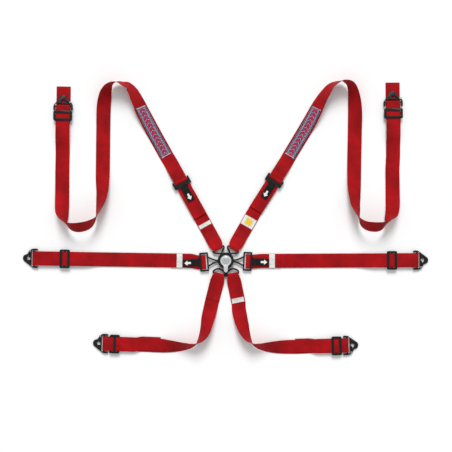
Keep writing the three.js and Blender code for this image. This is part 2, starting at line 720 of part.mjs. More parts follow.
function addLapStrap(name, side) {
  const lap = LAPS[name];
  const tongue = spoke(TONGUE_AZIMUTH[`lap_${name}`]);
  add(`lap_tongue_${name}`, lapTongue(), blackSteel, tongue);
  add(`lap_grip_bar_${name}`, lapGripBar(), brightSteel, tongue);

  const azimuth = TONGUE_AZIMUTH[`lap_${name}`];
  const tongueLine = new Line(side, 0, 0, side > 0 ? azimuth : 180 - azimuth);
  const line = new Line(side, 0, lap.y, lap.heading);
  const barHeight = LIFT + BRACKET_LOOP + WEB_THICK / 2;
  const top = barHeight + BRACKET_LOOP;
  const level = lap.bar - lap.slider - SLIDER.length / 2 - 34;
  const stations = [
    ...line.stations([[ADJUSTER_TAIL, SECOND + 1.65], [120, SECOND + 1.65]]),
    ...tongueLine.stations([[98, 3.7], [88.5, 4.5], [85.4, 5.4]]),
    ...tongueLine.stations(bend(81.5, 7.5, 3, -8, 90, 4)),
    ...tongueLine.stations(bend(74.4, 7.5, 3, 90, 270, 6)),
    ...tongueLine.stations([[79, 4.5], [83.5, 3.5], [90, 2.6], [100, 2.35]]),
    ...line.stations([[130, SECOND], [level - 90, SECOND], [level - 60, SECOND + 1.4]]),
    ...line.stations([[level - 25, top - 1.2], [level, top]]),
    ...line.stations(bend(lap.bar, barHeight, BRACKET_LOOP, 90, -90, 8)),
    ...line.stations([[lap.tail, FLAT]]),
  ];
  add(`lap_strap_${name}`, ribbon(stations), redWebbing);

  const end = line.moved(lap.bar);
  addEndBracket(`lap_${name}`, end, barHeight);
  addSlider(`lap_${name}`, end, lap.slider, top, true);

  const tab = tabStations(tongueLine, FRAME_FAR + TAB.stand, TONGUE_MID, SECOND + 3.4);
  add(`pull_tab_lap_${name}`, ribbon(tab, TAB.thick), blackWebbing);
}

// ---------------------------------------------------------------- shoulder straps

// The free route of the upper straps from the patch to the end leg: a loop that turns the
// webbing over at the top, a leg back down, a second loop, and a leg up to the bracket.
const SHOULDER_ROUTE = {
  left: [
    [209.8, 369.8, 0, 0], [240, 424, 0, 0], [263, 466, 0, 3], [284, 506, 0, 13],
    [298, 534, 0, 22], [306, 553, 0, 30], [316.5, 574, 0, 36],
    [327, 595, 1, 46], [344, 615, 5, 57], [357.5, 620, 9, 66], [378, 628, 10, 76],
    [399, 625, 10, 89], [413, 614, 7, 107], [423, 594.5, 2, 131], [427.5, 574, 1, 148],
    [431, 554, 0, 161], [433.3, 526, 0, 171], [434.5, 480, 0, 180], [435.6, 392, 0, 180],
    [436.4, 321, 0, 182], [436.8, 285, 0, 190], [436.6, 250, 0, 204], [440, 216, 0, 219],
    [443, 197, 1, 231], [447, 179, 4, 244], [451, 163, 8, 256], [456.5, 148, 12, 270],
    [469, 134, 18, 290], [484, 124.5, 24, 304], [504, 118.5, 27, 311], [524, 116.6, 27, 310],
    [544, 120, 22, 299], [561, 130, 15, 279], [571, 143, 9, 255], [576.5, 161, 4, 228],
    [579, 179, 1, 208], [580, 200, 0, 194], [580.3, 235, 0, 183], [580, 320, 0, 180],
  ],
  right: [
    [225.2, 369.5, 0, 0], [257.5, 423, 0, 0], [283, 466, 0, 3], [301, 498, 0, 14],
    [314, 523, 0, 22], [329, 553, 0, 34], [340, 573, 0, 43],
    [354, 594, 1, 51], [371, 614.5, 6, 62], [386.5, 624, 9, 71], [407, 632, 10, 82],
    [419, 631, 10, 91], [436, 624, 8, 105], [443.5, 614, 5, 116], [450, 594.5, 2, 129],
    [453.5, 574, 1, 141], [455.8, 554, 0, 152], [457.8, 523, 0, 164], [458, 463, 0, 180],
    [455.9, 356, 0, 180], [455.1, 285, 0, 187], [455.2, 250, 0, 198], [456.5, 214.6, 0, 214],
    [457.5, 196.7, 1, 223], [460, 179, 4, 236], [463, 162, 8, 250], [468, 147.5, 12, 268],
    [480, 131.5, 18, 291], [493, 123.5, 23, 303], [506, 120, 26, 310], [519.5, 118.5, 27, 312],
    [533, 118.7, 27, 311], [548, 121.8, 23, 302], [566, 132.5, 15, 276], [576.5, 147, 8, 247],
    [584.5, 162, 3, 224], [588.8, 179, 1, 209], [591, 197, 0, 197], [591.8, 230, 0, 184],
    [591.3, 320, 0, 180],
  ],
};

// The end leg: where the bracket bar is, the way it points, and the ends of the hidden layers.
const SHOULDER_ENDS = {
  left: { x: 576.3, y: 546, heading: 90.9, slider: 34 },
  right: { x: 592.4, y: 560, heading: 90.4, slider: 40 },
};
const SHOULDER_FOLD = 58;
const SHOULDER_TAIL = 71;

// The woven patch lies over the first stations of the route.
const PATCH = { width: 39, thick: 1, gap: 0.7, stations: 10 };

/** The straight lines that the lower and the upper part of a shoulder strap lie along. */
function shoulderLines(name, side) {
  const { lowerLean, upperLean, bend: corner } = SHOULDERS[name];
  const azimuth = TONGUE_AZIMUTH[`shoulder_${name}`];
  const x = side * SHOULDER_BAR_REACH * Math.cos(radians(azimuth));
  const y = SHOULDER_BAR_REACH * Math.sin(radians(azimuth));
  const lower = new Line(side, x, y, 90 - lowerLean);
  return { lower, upper: lower.moved(corner, lowerLean - upperLean) };
}

function addShoulderStrap(name, side) {
  const { lowerLean, bend: corner, anchor, tail } = SHOULDERS[name];
  const { lower, upper } = shoulderLines(name, side);
  const azimuth = TONGUE_AZIMUTH[`shoulder_${name}`];
  const barTurn = side > 0 ? radians(90 - lowerLean - azimuth) : radians(90 + lowerLean - azimuth);
  add(`shoulder_tongue_${name}`, shoulderTongue(barTurn), blackSteel, spoke(azimuth));

  const anchorLine = upper.moved(anchor - corner);
  const lowerStations = [
    ...lower.stations([[75, FLAT], [30, FLAT + 0.4], [10, TONGUE_MID - LOOP_RADIUS - 1, 45]]),
    ...lower.stations(bend(0, TONGUE_MID, LOOP_RADIUS, 270, 90, 8).map(neck)),
    ...lower.stations([[8, TONGUE_MID + LOOP_RADIUS - 0.6, 43], [18, 7.6, 49], [28, 6.2], [60, 2.7]]),
    ...lower.stations([[90, SECOND]]),
    ...lower.stations([[corner - 5, SECOND]]),
    ...anchorLine.stations([[-60, SECOND], [-14, ANCHOR_HEIGHT + ANCHOR_LOOP - 0.9]]),
    ...anchorLine.stations(bend(0, ANCHOR_HEIGHT, ANCHOR_LOOP, 90, -90, 8)),
    ...anchorLine.stations([[-64, FLAT]]),
  ];
  add(`shoulder_strap_lower_${name}`, ribbon(lowerStations), redWebbing);

  const fitting = anchorLine.group(0);
  harness.add(fitting);
  add(`shoulder_adjuster_${name}`, shoulderAdjuster(), blackSteel, fitting);
  add(`shoulder_grip_bar_${name}`, shoulderGripBar(), brightSteel, fitting);

  const away = new Line(side, ...anchorLine.at(CROSSBAR.near - TAB.stand), anchorLine.heading + 180);
  const tab = tabStations(away, 0, TAB_PIN_HEIGHT, TAIL_HEIGHT + 1.6);
  add(`pull_tab_shoulder_${name}`, ribbon(tab, TAB.thick), blackWebbing);

  addUpperStrap(name, side, anchorLine, tail);
}

/** A neck entry: the webbing gathered to fit between the arms of a tongue. */
function neck([u, z]) {
  return [u, z, NECK_WIDTH];
}

function addUpperStrap(name, side, anchorLine, tail) {
  const { x, y, heading, slider } = SHOULDER_ENDS[name];
  const end = new Line(side, x, y, heading);
  const barHeight = SECOND + BRACKET_LOOP;
  const top = barHeight + BRACKET_LOOP;
  const level = -slider - SLIDER.length / 2 - 34;
  const route = rollingStations(side, SHOULDER_ROUTE[name], 2);
  const start = anchorLine.stations([
    [-tail, TAIL_HEIGHT], [46, TAIL_HEIGHT], [62, TAIL_HEIGHT - 2.5], [82, FLAT + 1],
  ]);
  const stations = [
    ...start,
    ...route,
    ...end.stations([[level - 95, FLAT], [level - 65, FLAT + 1.4], [level - 25, top - 1.4]], true),
    ...end.stations([[level, top]], true),
    ...end.stations(bend(0, barHeight, BRACKET_LOOP, 90, -90, 8), true),
    ...end.stations([[-SHOULDER_FOLD + 4, SECOND]], true),
    ...end.stations(bend(-SHOULDER_FOLD, (FLAT + SECOND) / 2 + 0.4, 1.5, 80, 280, 6), true),
    ...end.stations([[-SHOULDER_FOLD + 6, FLAT], [SHOULDER_TAIL, FLAT]], true),
  ];
  add(`shoulder_strap_upper_${name}`, ribbon(stations), redWebbing);

  addEndBracket(`shoulder_${name}`, end, barHeight);
  addSlider(`shoulder_${name}`, end, slider, top, true);

  const patch = route.slice(0, PATCH.stations).map((station) => ({ ...station, width: PATCH.width }));
  const above = -side * (WEB_THICK / 2 + PATCH.gap + PATCH.thick / 2);
  add(`shoulder_patch_${name}`, ribbon(patch, PATCH.thick, above), navyPatch);
}

// ---------------------------------------------------------------- crotch straps

// Each crotch strap hangs from the yoke, turns over at its corner, and runs out sideways. Its
// webbing comes back over itself from the bracket, through the slider.
const CROTCH_ROUTE = {
  left: [
    [55.7, -176, 0, 3], [64.3, -211, 0, 24], [68, -229.5, 0, 34], [72.6, -247, 0, 43],
    [79, -263.5, 0, 54], [86.3, -275, 0, 66], [93.8, -283.5, 0, 78], [101.5, -290, 1, 90],
    [111, -294.6, 1, 105], [127, -300, 0, 119], [144.8, -302.6, 0, 129], [162.6, -303.5, 0, 138],
    [182, -303.4, 0, 148], [200, -303, 0, 157], [225, -302.3, 0, 172], [252, -301.2, 0, 180],
  ],
  right: [
    [46.7, -176, 0, 2], [54, -211, 0, 17], [59.2, -229, 0, 28], [64.5, -246.5, 0, 41],
    [71.8, -263, 0, 54], [77.5, -273.5, 0, 64], [84.5, -282, 0, 77], [92.5, -289.3, 1, 90],
    [102.5, -295, 1, 108], [121.5, -301.5, 0, 124], [139, -304, 0, 135], [157, -305.3, 0, 146],
    [177, -306, 0, 156], [194, -306.3, 0, 164], [222, -306.5, 0, 174], [250, -306.6, 0, 180],
  ],
};
const CROTCHES = {
  left: { lean: 14.2, x: 431.5, y: -294.3, heading: 2, slider: 38, tail: 200, shift: 4 },
  right: { lean: 11.5, x: 430, y: -301, heading: 1.5, slider: 38, tail: 184, shift: 3 },
};

function addCrotchStrap(name, side) {
  const { lean, x, y, heading, slider, tail, shift } = CROTCHES[name];
  const hang = new Line(side, YOKE_BAR.offset, -YOKE_BAR.reach, lean - 90);
  const end = new Line(side, x, y, heading);
  const beside = new Line(side, x, y + shift, heading);
  const barHeight = LIFT + BRACKET_LOOP + WEB_THICK / 2;
  const top = barHeight + BRACKET_LOOP;
  const level = -slider - SLIDER.length / 2 - 34;
  const stations = [
    ...hang.stations([[95, SECOND], [60, SECOND + 0.4], [26, 7.2]]),
    ...hang.stations([[10, TONGUE_MID + LOOP_RADIUS - 0.8, 44]]),
    ...hang.stations(bend(0, TONGUE_MID, LOOP_RADIUS, 90, 270, 8).map(neck)),
    ...hang.stations([[10, TONGUE_MID - LOOP_RADIUS - 0.8, 44], [34, FLAT + 0.3], [105, FLAT]]),
    ...rollingStations(side, CROTCH_ROUTE[name], 2),
    ...end.stations([[-110, FLAT]], true),
    ...end.stations(bend(0, barHeight, BRACKET_LOOP, -90, 90, 8), true),
    ...end.stations([[level, top], [level - 20, top - 1.4]], true),
    ...beside.stations([[level - 42, SECOND + 1.4], [level - 60, SECOND], [-tail, SECOND]], true),
  ];
  add(`crotch_strap_${name}`, ribbon(stations), redWebbing);

  addEndBracket(`crotch_${name}`, end, barHeight);
  addSlider(`crotch_${name}`, end, slider, top, name === 'right');
}

addBuckle();
add('crotch_yoke', crotchYoke({ left: 14.2, right: 11.5 }), blackSteel, spoke(TONGUE_AZIMUTH.crotch));
[['left', -1], ['right', 1]].forEach(([name, side]) => {
  addLapStrap(name, side);
  addShoulderStrap(name, side);
  addCrotchStrap(name, side);
});

export default harness;
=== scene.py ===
"""Looks of a six-strap racing harness laid out face up: webbing, sewn trim and coated hardware.

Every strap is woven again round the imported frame, station by station, and every fitting is an
eased copy of its solid. Lengths are in metres; MM turns a maker's millimetres into metres.
"""

from __future__ import annotations

import json
import logging
import math
from bisect import bisect_right
from collections.abc import Iterable
from dataclasses import dataclass, field
from enum import Enum
from itertools import combinations, permutations

import bmesh
import bpy
from mathutils import Matrix, Vector

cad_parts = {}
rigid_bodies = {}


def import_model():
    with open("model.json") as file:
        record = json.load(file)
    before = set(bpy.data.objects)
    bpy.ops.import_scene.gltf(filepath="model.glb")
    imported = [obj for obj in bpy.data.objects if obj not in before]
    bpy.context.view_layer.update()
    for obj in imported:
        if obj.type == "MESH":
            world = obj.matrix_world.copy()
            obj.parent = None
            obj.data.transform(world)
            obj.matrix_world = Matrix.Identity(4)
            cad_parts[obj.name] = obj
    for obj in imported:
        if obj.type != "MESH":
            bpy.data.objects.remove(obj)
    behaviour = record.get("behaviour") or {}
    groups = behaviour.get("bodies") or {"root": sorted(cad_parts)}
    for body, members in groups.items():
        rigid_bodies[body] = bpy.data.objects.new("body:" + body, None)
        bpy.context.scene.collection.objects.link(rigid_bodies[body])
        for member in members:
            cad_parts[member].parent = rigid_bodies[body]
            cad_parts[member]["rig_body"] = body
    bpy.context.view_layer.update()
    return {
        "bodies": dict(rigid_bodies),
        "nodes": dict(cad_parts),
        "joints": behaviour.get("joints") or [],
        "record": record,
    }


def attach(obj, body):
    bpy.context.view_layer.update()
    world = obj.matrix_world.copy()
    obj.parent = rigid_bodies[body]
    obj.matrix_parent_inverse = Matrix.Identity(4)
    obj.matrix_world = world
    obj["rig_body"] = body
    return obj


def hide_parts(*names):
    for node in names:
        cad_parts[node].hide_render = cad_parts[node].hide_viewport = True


MM = 0.001
UP = Vector((0.0, 0.0, 1.0))
Tree = bpy.types.NodeTree
Node = bpy.types.Node
Socket = bpy.types.NodeSocket
Span = tuple[float, float]
Object = bpy.types.Object
log = logging.getLogger("harness")


class Side(Enum):
    """The two mirror halves of the harness, by the sign of X."""

    LEFT = -1
    RIGHT = 1

    @property
    def tag(self) -> str:
        """The side's name as node names end with it."""
        return self.name.lower()


# ---------------------------------------------------------------- finishes


def linear(code: str) -> tuple[float, float, float, float]:
    """The linear colour of an sRGB hex value.

    Args:
        code: The colour as six hex digits.

    Returns:
        Red, green, blue and an alpha of 1.
    """
    channels = [int(code[index : index + 2], 16) / 255 for index in (0, 2, 4)]
    bright = [c / 12.92 if c <= 0.04045 else ((c + 0.055) / 1.055) ** 2.4 for c in channels]
    return (bright[0], bright[1], bright[2], 1.0)


def add_node(
    tree: Tree,
    kind: str,
    settings: dict[str | int, object] | None = None,
    links: dict[str | int, Node | Socket] | None = None,
) -> Node:
    """Adds a shader node with its settings and links.

    Args:
        tree: The material's node tree.
        kind: The node's type name, after ShaderNode.
        settings: Attribute names, or input names or numbers, with their values.
        links: Input names or numbers with what feeds them.

    Returns:
        The new node.
    """
    made = tree.nodes.new(f"ShaderNode{kind}")
    wire(tree, made, settings or {}, links or {})
    return made


def wire(
    tree: Tree,
    node: Node,
    settings: dict[str | int, object],
    links: dict[str | int, Node | Socket],
) -> None:
    """Gives a node its settings and links.

    Args:
        tree: The material's node tree.
        node: The node, new or already there.
        settings: Attribute names, or input names or numbers, with their values.
        links: Input names or numbers with the sockets that feed them. A node stands for its
            first output in use.
    """
    for key, value in settings.items():
        if isinstance(key, int) or key in node.inputs:
            node.inputs[key].default_value = value
        else:
            setattr(node, key, value)
    for key, source in links.items():
        if isinstance(source, Node):
            source = next(socket for socket in source.outputs if socket.enabled)
        tree.links.new(source, node.inputs[key])


@dataclass(frozen=True)
class Finish:
    """A finish, named for its real material and how its surface was made."""

    name: str
    slot: str

    def material(self) -> bpy.types.Material:
        """The Blender material, made the first time it is asked for."""
        known = bpy.data.materials.get(self.name)
        if known:
            return known
        made = bpy.data.materials.new(self.name)
        made.use_nodes = True
        self.dress(made.node_tree, made.node_tree.nodes["Principled BSDF"])
        return made

    def dress(self, tree: Tree, shader: Node) -> None:
        """Adds the finish's nodes to its shader."""
        raise NotImplementedError

    def put_on(self, piece: Object, body: str | None = None) -> None:
        """Gives a piece this finish and, when one is named, the body that it rides on."""
        piece.data.materials.clear()
        piece.data.materials.append(self.material())
        if body:
            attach(piece, body)

    @staticmethod
    def cloud_gloss(tree: Tree, shader: Node, size: float, detail: float, span: Span) -> Node:
        """Makes the gloss uneven, in clouds of one size.

        Args:
            tree: The material's node tree.
            shader: The finish's shader.
            size: The size of a cloud.
            detail: How many finer layers break it up.
            span: The least and the most roughness.

        Returns:
            The clouds, from 0 to 1.
        """
        place = add_node(tree, "TexCoord").outputs["Object"]
        clouds = add_node(tree, "TexNoise", {"Scale": 1 / size, "Detail": detail}, {"Vector": place})
        gloss = add_node(tree, "MapRange", {"To Min": span[0], "To Max": span[1]}, {"Value": clouds})
        wire(tree, shader, {}, {"Roughness": gloss})
        return clouds

    @staticmethod
    def grain(
        tree: Tree, shader: Node, place: Socket, noise: dict[str, float], relief: dict[str, float]
    ) -> None:
        """Raises a fine grain on the surface.

        Args:
            tree: The material's node tree.
            shader: The finish's shader.
            place: The coordinates that the grain follows.
            noise: The grain's scale and detail.
            relief: The grain's strength and height.
        """
        height = add_node(tree, "TexNoise", noise, {"Vector": place})
        wire(tree, shader, {}, {"Normal": add_node(tree, "Bump", relief, {"Height": height})})


@dataclass(frozen=True)
class WovenCloth(Finish):
    """A cloth whose pattern follows the metres along and across it."""

    @staticmethod
    def spread(tree: Tree) -> tuple[Socket, Socket, Socket, Node]:
        """The cloth's coordinates: both together, along, across, and out from the middle."""
        lay = add_node(tree, "UVMap", {"uv_map": "weave"})
        split = add_node(tree, "SeparateXYZ", links={0: lay})
        outside = add_node(tree, "Math", {"operation": "ABSOLUTE"}, {0: split.outputs["Y"]})
        return lay.outputs["UV"], split.outputs["X"], split.outputs["Y"], outside


@dataclass(frozen=True)
class WovenPolyester(WovenCloth):
    """Polyester webbing, woven in chevron panels and dyed.

    The colour is painted lighter on the slanted weft floats, a painted highlight in rows, and the
    dye takes unevenly, so a flat run is never one colour. The real pick is 0.9 mm; it is drawn wider
    so that it shows.
    """

    # deep and lit span the dye's range, and are also the painted shade and painted highlight of the
    # weave ridges.
    deep: str = "75030A"
    lit: str = "B4060F"
    pick: float = 2.2 * MM
    panel: float = 8.0 * MM
    half_width: float = 25.0 * MM
    relief: float = 0.22 * MM
    sheen: float = 0.04
    mottle: float = 14 * MM
    cloud: float = 70 * MM

    def dress(self, tree: Tree, shader: Node) -> None:
        """Weaves chevrons, lengthwise warp ridges, selvedges and an uneven dye, with painted
        highlight on the ridge tops.
        """
        lay, along, across, outside = self.spread(tree)
        fold = add_node(tree, "Math", {"operation": "PINGPONG", 1: self.panel}, {0: across})
        slant = add_node(tree, "Math", {"operation": "ADD"}, {0: along, 1: fold})
        floats = self._ridges(tree, slant, self.pick)
        warps = self._ridges(tree, across, self.panel / 5)
        blend = {"data_type": "FLOAT", "Factor": 0.35}
        height = add_node(tree, "Mix", blend, {2: floats, 3: warps})
        patches = {"Scale": 1 / self.mottle, "Detail": 5.0, "Roughness": 0.65}
        mottle = add_node(tree, "TexNoise", patches, {"Vector": lay})
        clouds = {"Scale": 1 / self.cloud, "Detail": 2.0, "Roughness": 0.6}
        drift = add_node(tree, "TexNoise", clouds, {"Vector": lay})
        weigh = {"operation": "MULTIPLY_ADD", 1: 0.4}
        uneven = add_node(tree, "Math", weigh, {0: mottle, 2: drift})
        taken = add_node(tree, "MapRange", {"From Min": 0.48, "From Max": 0.92}, {"Value": uneven})
        # The ridge height also sets the colour: painted highlight on the ridge tops, painted shade
        # between them. The mottle is the uneven dye.
        blend = {"data_type": "FLOAT", "Factor": 0.68}
        level = add_node(tree, "Mix", blend, {2: height, 3: taken})
        # Colour of the uneven dye plus the painted ridge highlight and shade.
        tones = {"data_type": "RGBA", 6: linear(self.deep), 7: linear(self.lit)}
        dye = add_node(tree, "Mix", tones, {"Factor": level})
        edge = {"From Min": self.half_width - 2.2 * MM, "From Max": self.half_width - 1.2 * MM}
        selvedge = add_node(tree, "MapRange", edge | {"To Max": 0.28}, {"Value": outside})
        edged = add_node(
            tree, "Mix", {"data_type": "RGBA", 7: linear(self.deep)}, {"Factor": selvedge, 6: dye}
        )
        raised = {"Strength": 0.7, "Distance": self.relief}
        relief = add_node(tree, "Bump", raised, {"Height": height})
        surface = {"Roughness": 0.78, "Specular IOR Level": 0.16}
        surface |= {"Sheen Weight": self.sheen, "Sheen Roughness": 0.45}
        wire(tree, shader, surface, {"Base Color": edged, "Normal": relief})

    @staticmethod
    def _ridges(tree: Tree, value: Node | Socket, pitch: float) -> Node:
        """Rounded ridges along a coordinate, from 0 to 1.

        Args:
            tree: The material's node tree.
            value: The coordinate, in metres.
            pitch: The distance from ridge to ridge.

        Returns:
            The node that gives the ridge's height.
        """
        turn = add_node(tree, "Math", {"operation": "MULTIPLY", 1: math.tau / pitch}, {0: value})
        wave = add_node(tree, "Math", {"operation": "SINE"}, {0: turn})
        return add_node(tree, "Math", {"operation": "MULTIPLY_ADD", 1: 0.5, 2: 0.5}, {0: wave})


@dataclass(frozen=True)
class WovenPatchCloth(WovenCloth):
    """Damask-woven badge cloth: navy ground, pale rails, and chevrons that point along it."""

    length: float = 197 * MM
    half_width: float = 19.5 * MM
    ground: str = "121A44"
    thread: str = "D5D8E6"
    accent: str = "B40F3A"
    chevron: float = 15 * MM

    def dress(self, tree: Tree, shader: Node) -> None:
        """Weaves the ground, the chevrons, the rails and the border, one over the other."""
        lay, along, _, outside = self.spread(tree)
        slant = add_node(tree, "Math", {"operation": "ADD"}, {0: along, 1: outside})
        tooth = {"operation": "PINGPONG", 1: self.chevron / 2}
        saw = add_node(tree, "Math", tooth, {0: slant})
        middle = {"operation": "LESS_THAN", 1: self.half_width * 0.46}
        narrow = add_node(tree, "Math", middle, {0: outside})
        masks = []
        stripes = [("LESS_THAN", 0.6 * MM, self.thread), ("GREATER_THAN", 3.6 * MM, self.accent)]
        for operation, limit, code in stripes:
            stripe = add_node(tree, "Math", {"operation": operation, 1: limit}, {0: saw})
            both = add_node(tree, "Math", {"operation": "MULTIPLY"}, {0: narrow, 1: stripe})
            masks.append((both, code))
        lines = [(outside, self.half_width * share, 0.4 * MM) for share in (0.56, 0.72)]
        lines += [(outside, self.half_width - 1.6 * MM, 0.2 * MM)]
        lines += [(along, end, 0.7 * MM) for end in (2.4 * MM, self.length - 2.4 * MM)]
        for value, centre, half in lines:
            band = {"operation": "COMPARE", 1: centre, 2: half}
            masks.append((add_node(tree, "Math", band, {0: value}), self.thread))
        colour = None
        for mask, code in masks:
            tones = {"data_type": "RGBA", 6: linear(self.ground), 7: linear(code)}
            under = {6: colour} if colour else {}
            colour = add_node(tree, "Mix", tones, {"Factor": mask} | under)
        yarn = {"Scale": 1 / (1.2 * MM), "Detail": 2.0}
        self.grain(tree, shader, lay, yarn, {"Strength": 0.5, "Distance": 0.2 * MM})
        surface = {"Roughness": 0.72, "Specular IOR Level": 0.3}
        wire(tree, shader, surface, {"Base Color": colour})


@dataclass(frozen=True)
class SatinLabelTape(WovenCloth):
    """Coated satin label tape, heat printed with faint grey rules.

    The coat is smooth and a little glossy next to the webbing, so the label stays brighter.
    """

    paper: str = "DEDEDA"
    ink: str = "9A9A9C"
    rule: float = 3.4 * MM
    half_rule: float = 0.45 * MM
    half_rule_length: float = 15 * MM
    word: float = 7 * MM

    def dress(self, tree: Tree, shader: Node) -> None:
        """Prints rules across the tape, broken into uneven lengths."""
        lay, along, _, outside = self.spread(tree)
        row = add_node(tree, "Math", {"operation": "PINGPONG", 1: self.rule / 2}, {0: along})
        line = add_node(tree, "Math", {"operation": "LESS_THAN", 1: self.half_rule}, {0: row})
        reach = {"operation": "LESS_THAN", 1: self.half_rule_length}
        inside = add_node(tree, "Math", reach, {0: outside})
        breaks = add_node(
            tree, "TexNoise", {"Scale": 1 / self.word, "Detail": 0.0}, {"Vector": lay}
        )
        kept = add_node(tree, "Math", {"operation": "GREATER_THAN", 1: 0.44}, {0: breaks})
        ruled = add_node(tree, "Math", {"operation": "MULTIPLY"}, {0: line, 1: inside})
        mask = add_node(tree, "Math", {"operation": "MULTIPLY"}, {0: ruled, 1: kept})
        tones = {"data_type": "RGBA", 6: linear(self.paper), 7: linear(self.ink)}
        colour = add_node(tree, "Mix", tones, {"Factor": mask})
        wire(tree, shader, {"Roughness": 0.45}, {"Base Color": colour})


@dataclass(frozen=True)
class CoatedMetal(Finish):
    """Powder-coated or hard-anodised metal: near black, with worn edges and a fine peel.

    The peel breaks the highlights into a soft satin, and bare metal shows at the sharpest
    corners, where other fittings rub.
    """

    coat: str = "0D0E0F"
    worn: str = "4A4C50"
    peel: float = 0.9 * MM
    roughness: float = 0.42

    def dress(self, tree: Tree, shader: Node) -> None:
        """Adds the coat's peel, its dust and its worn corners."""
        span = (self.roughness - 0.08, self.roughness + 0.14)
        dust = self.cloud_gloss(tree, shader, 11 * MM, 4.0, span)
        sharp = add_node(tree, "NewGeometry").outputs["Pointiness"]
        worst = {"From Min": 0.56, "From Max": 0.68, "To Max": 0.5}
        corner = add_node(tree, "MapRange", worst, {"Value": sharp})
        chipped = add_node(tree, "Math", {"operation": "MULTIPLY"}, {0: corner, 1: dust})
        tones = {"data_type": "RGBA", 6: linear(self.coat), 7: linear(self.worn)}
        colour = add_node(tree, "Mix", tones, {"Factor": chipped})
        place = add_node(tree, "TexCoord").outputs["Object"]
        peel = {"Scale": 1 / self.peel, "Detail": 3.0}
        self.grain(tree, shader, place, peel, {"Strength": 0.35, "Distance": 0.05 * MM})
        wire(tree, shader, {"Specular IOR Level": 0.3}, {"Base Color": colour})


@dataclass(frozen=True)
class TurnedAlloy(Finish):
    """Aluminium faced on a lathe and anodised clear, so fine rings run round its centre."""

    tint: str = "DDDEE0"
    ring: float = 0.8 * MM
    roughness: float = 0.34
    metallic: float = 0.7

    def dress(self, tree: Tree, shader: Node) -> None:
        """Turns rings about the origin's upright axis and clouds the gloss a little."""
        place = add_node(tree, "TexCoord").outputs["Object"]
        level = {"operation": "MULTIPLY", 1: (1.0, 1.0, 0.0)}
        flat = add_node(tree, "VectorMath", level, {0: place})
        radius = add_node(tree, "VectorMath", {"operation": "LENGTH"}, {0: flat})
        pitch = {"operation": "MULTIPLY", 1: math.tau / self.ring}
        turn = add_node(tree, "Math", pitch, {0: radius})
        rings = add_node(tree, "Math", {"operation": "SINE"}, {0: turn})
        span = (self.roughness - 0.06, self.roughness + 0.1)
        self.cloud_gloss(tree, shader, 6 * MM, 3.0, span)
        cut = {"Strength": 0.3, "Distance": 0.02 * MM}
        relief = add_node(tree, "Bump", cut, {"Height": rings})
        surface = {"Base Color": linear(self.tint), "Metallic": self.metallic}
        wire(tree, shader, surface, {"Normal": relief})


@dataclass(frozen=True)
class PlatedSteel(Finish):
    """Zinc-plated steel, drawn or turned, with a cloudy passivated gloss."""

    tint: str = "9B9DA1"
    cloud: float = 2.5 * MM

    def dress(self, tree: Tree, shader: Node) -> None:
        """Clouds the plating's gloss."""
        self.cloud_gloss(tree, shader, self.cloud, 4.0, (0.2, 0.42))
        wire(tree, shader, {"Base Color": linear(self.tint), "Metallic": 1.0}, {})


@dataclass(frozen=True)
class SpunThread(Finish):
    """Bonded polyester sewing thread, plied, so it glints in short dashes."""

    dye: str = "A9131D"
    ply: float = 0.7 * MM

    def dress(self, tree: Tree, shader: Node) -> None:
        """Shades the plies of the thread."""
        self.cloud_gloss(tree, shader, self.ply, 1.0, (0.4, 0.75))
        wire(tree, shader, {"Base Color": linear(self.dye)}, {})


@dataclass(frozen=True)
class ScreenInk(Finish):
    """Opaque screen-printing ink: a flat skin with a slight orange peel."""

    pigment: str = "E4E4E0"
    speck: float = 0.8 * MM

    def dress(self, tree: Tree, shader: Node) -> None:
        """Gives the ink its peel."""
        place = add_node(tree, "TexCoord").outputs["Object"]
        specks = {"Scale": 1 / self.speck, "Detail": 1.0}
        self.grain(tree, shader, place, specks, {"Strength": 0.25, "Distance": 0.03 * MM})
        wire(tree, shader, {"Base Color": linear(self.pigment), "Roughness": 0.5}, {})


@dataclass(frozen=True)
class StudioPaper(Finish):
    """Seamless white background paper."""

    tone: str = "F4F4F4"

    def dress(self, tree: Tree, shader: Node) -> None:
        """Sets an even matte white."""
        matte = {"Base Color": linear(self.tone), "Roughness": 0.95, "Specular IOR Level": 0.1}
        wire(tree, shader, matte, {})


RED_WEBBING = WovenPolyester("woven_polyester_red", "red_webbing")
# Black tape: the same painted ridge highlight and shade as the red webbing.
BLACK_TAPE = WovenPolyester(
    "woven_polyester_black",
    "black_webbing",
    deep="0B0B0C",
    lit="1B1C1E",
    pick=1.8 * MM,
    panel=6.25 * MM,
    half_width=12.5 * MM,
    sheen=0.02,
)
PATCH_CLOTH = WovenPatchCloth("damask_woven_badge", "woven_patch")
LABEL_TAPE = SatinLabelTape("satin_label_tape", "red_webbing")
YELLOW_TAPE = ScreenInk("screen_ink_yellow", "red_webbing", pigment="E3C02A")
BLACK_STEEL = CoatedMetal("powder_coated_steel", "black_steel")
BLACK_ALLOY = CoatedMetal("hard_anodised_alloy", "black_alloy", coat="0B0C0D", roughness=0.48)
SILVER_ALLOY = TurnedAlloy("turned_anodised_alloy", "silver_alloy")
# Grey ink for the printed pointer, and painted shade in the disc's grooves.
DARK_INK_AND_GROOVE_SHADE = ScreenInk("screen_ink_grey", "silver_alloy", pigment="4A4C50")
BRIGHT_STEEL = PlatedSteel("zinc_plated_steel", "bright_steel")
RED_THREAD = SpunThread("spun_thread_red", "red_webbing")
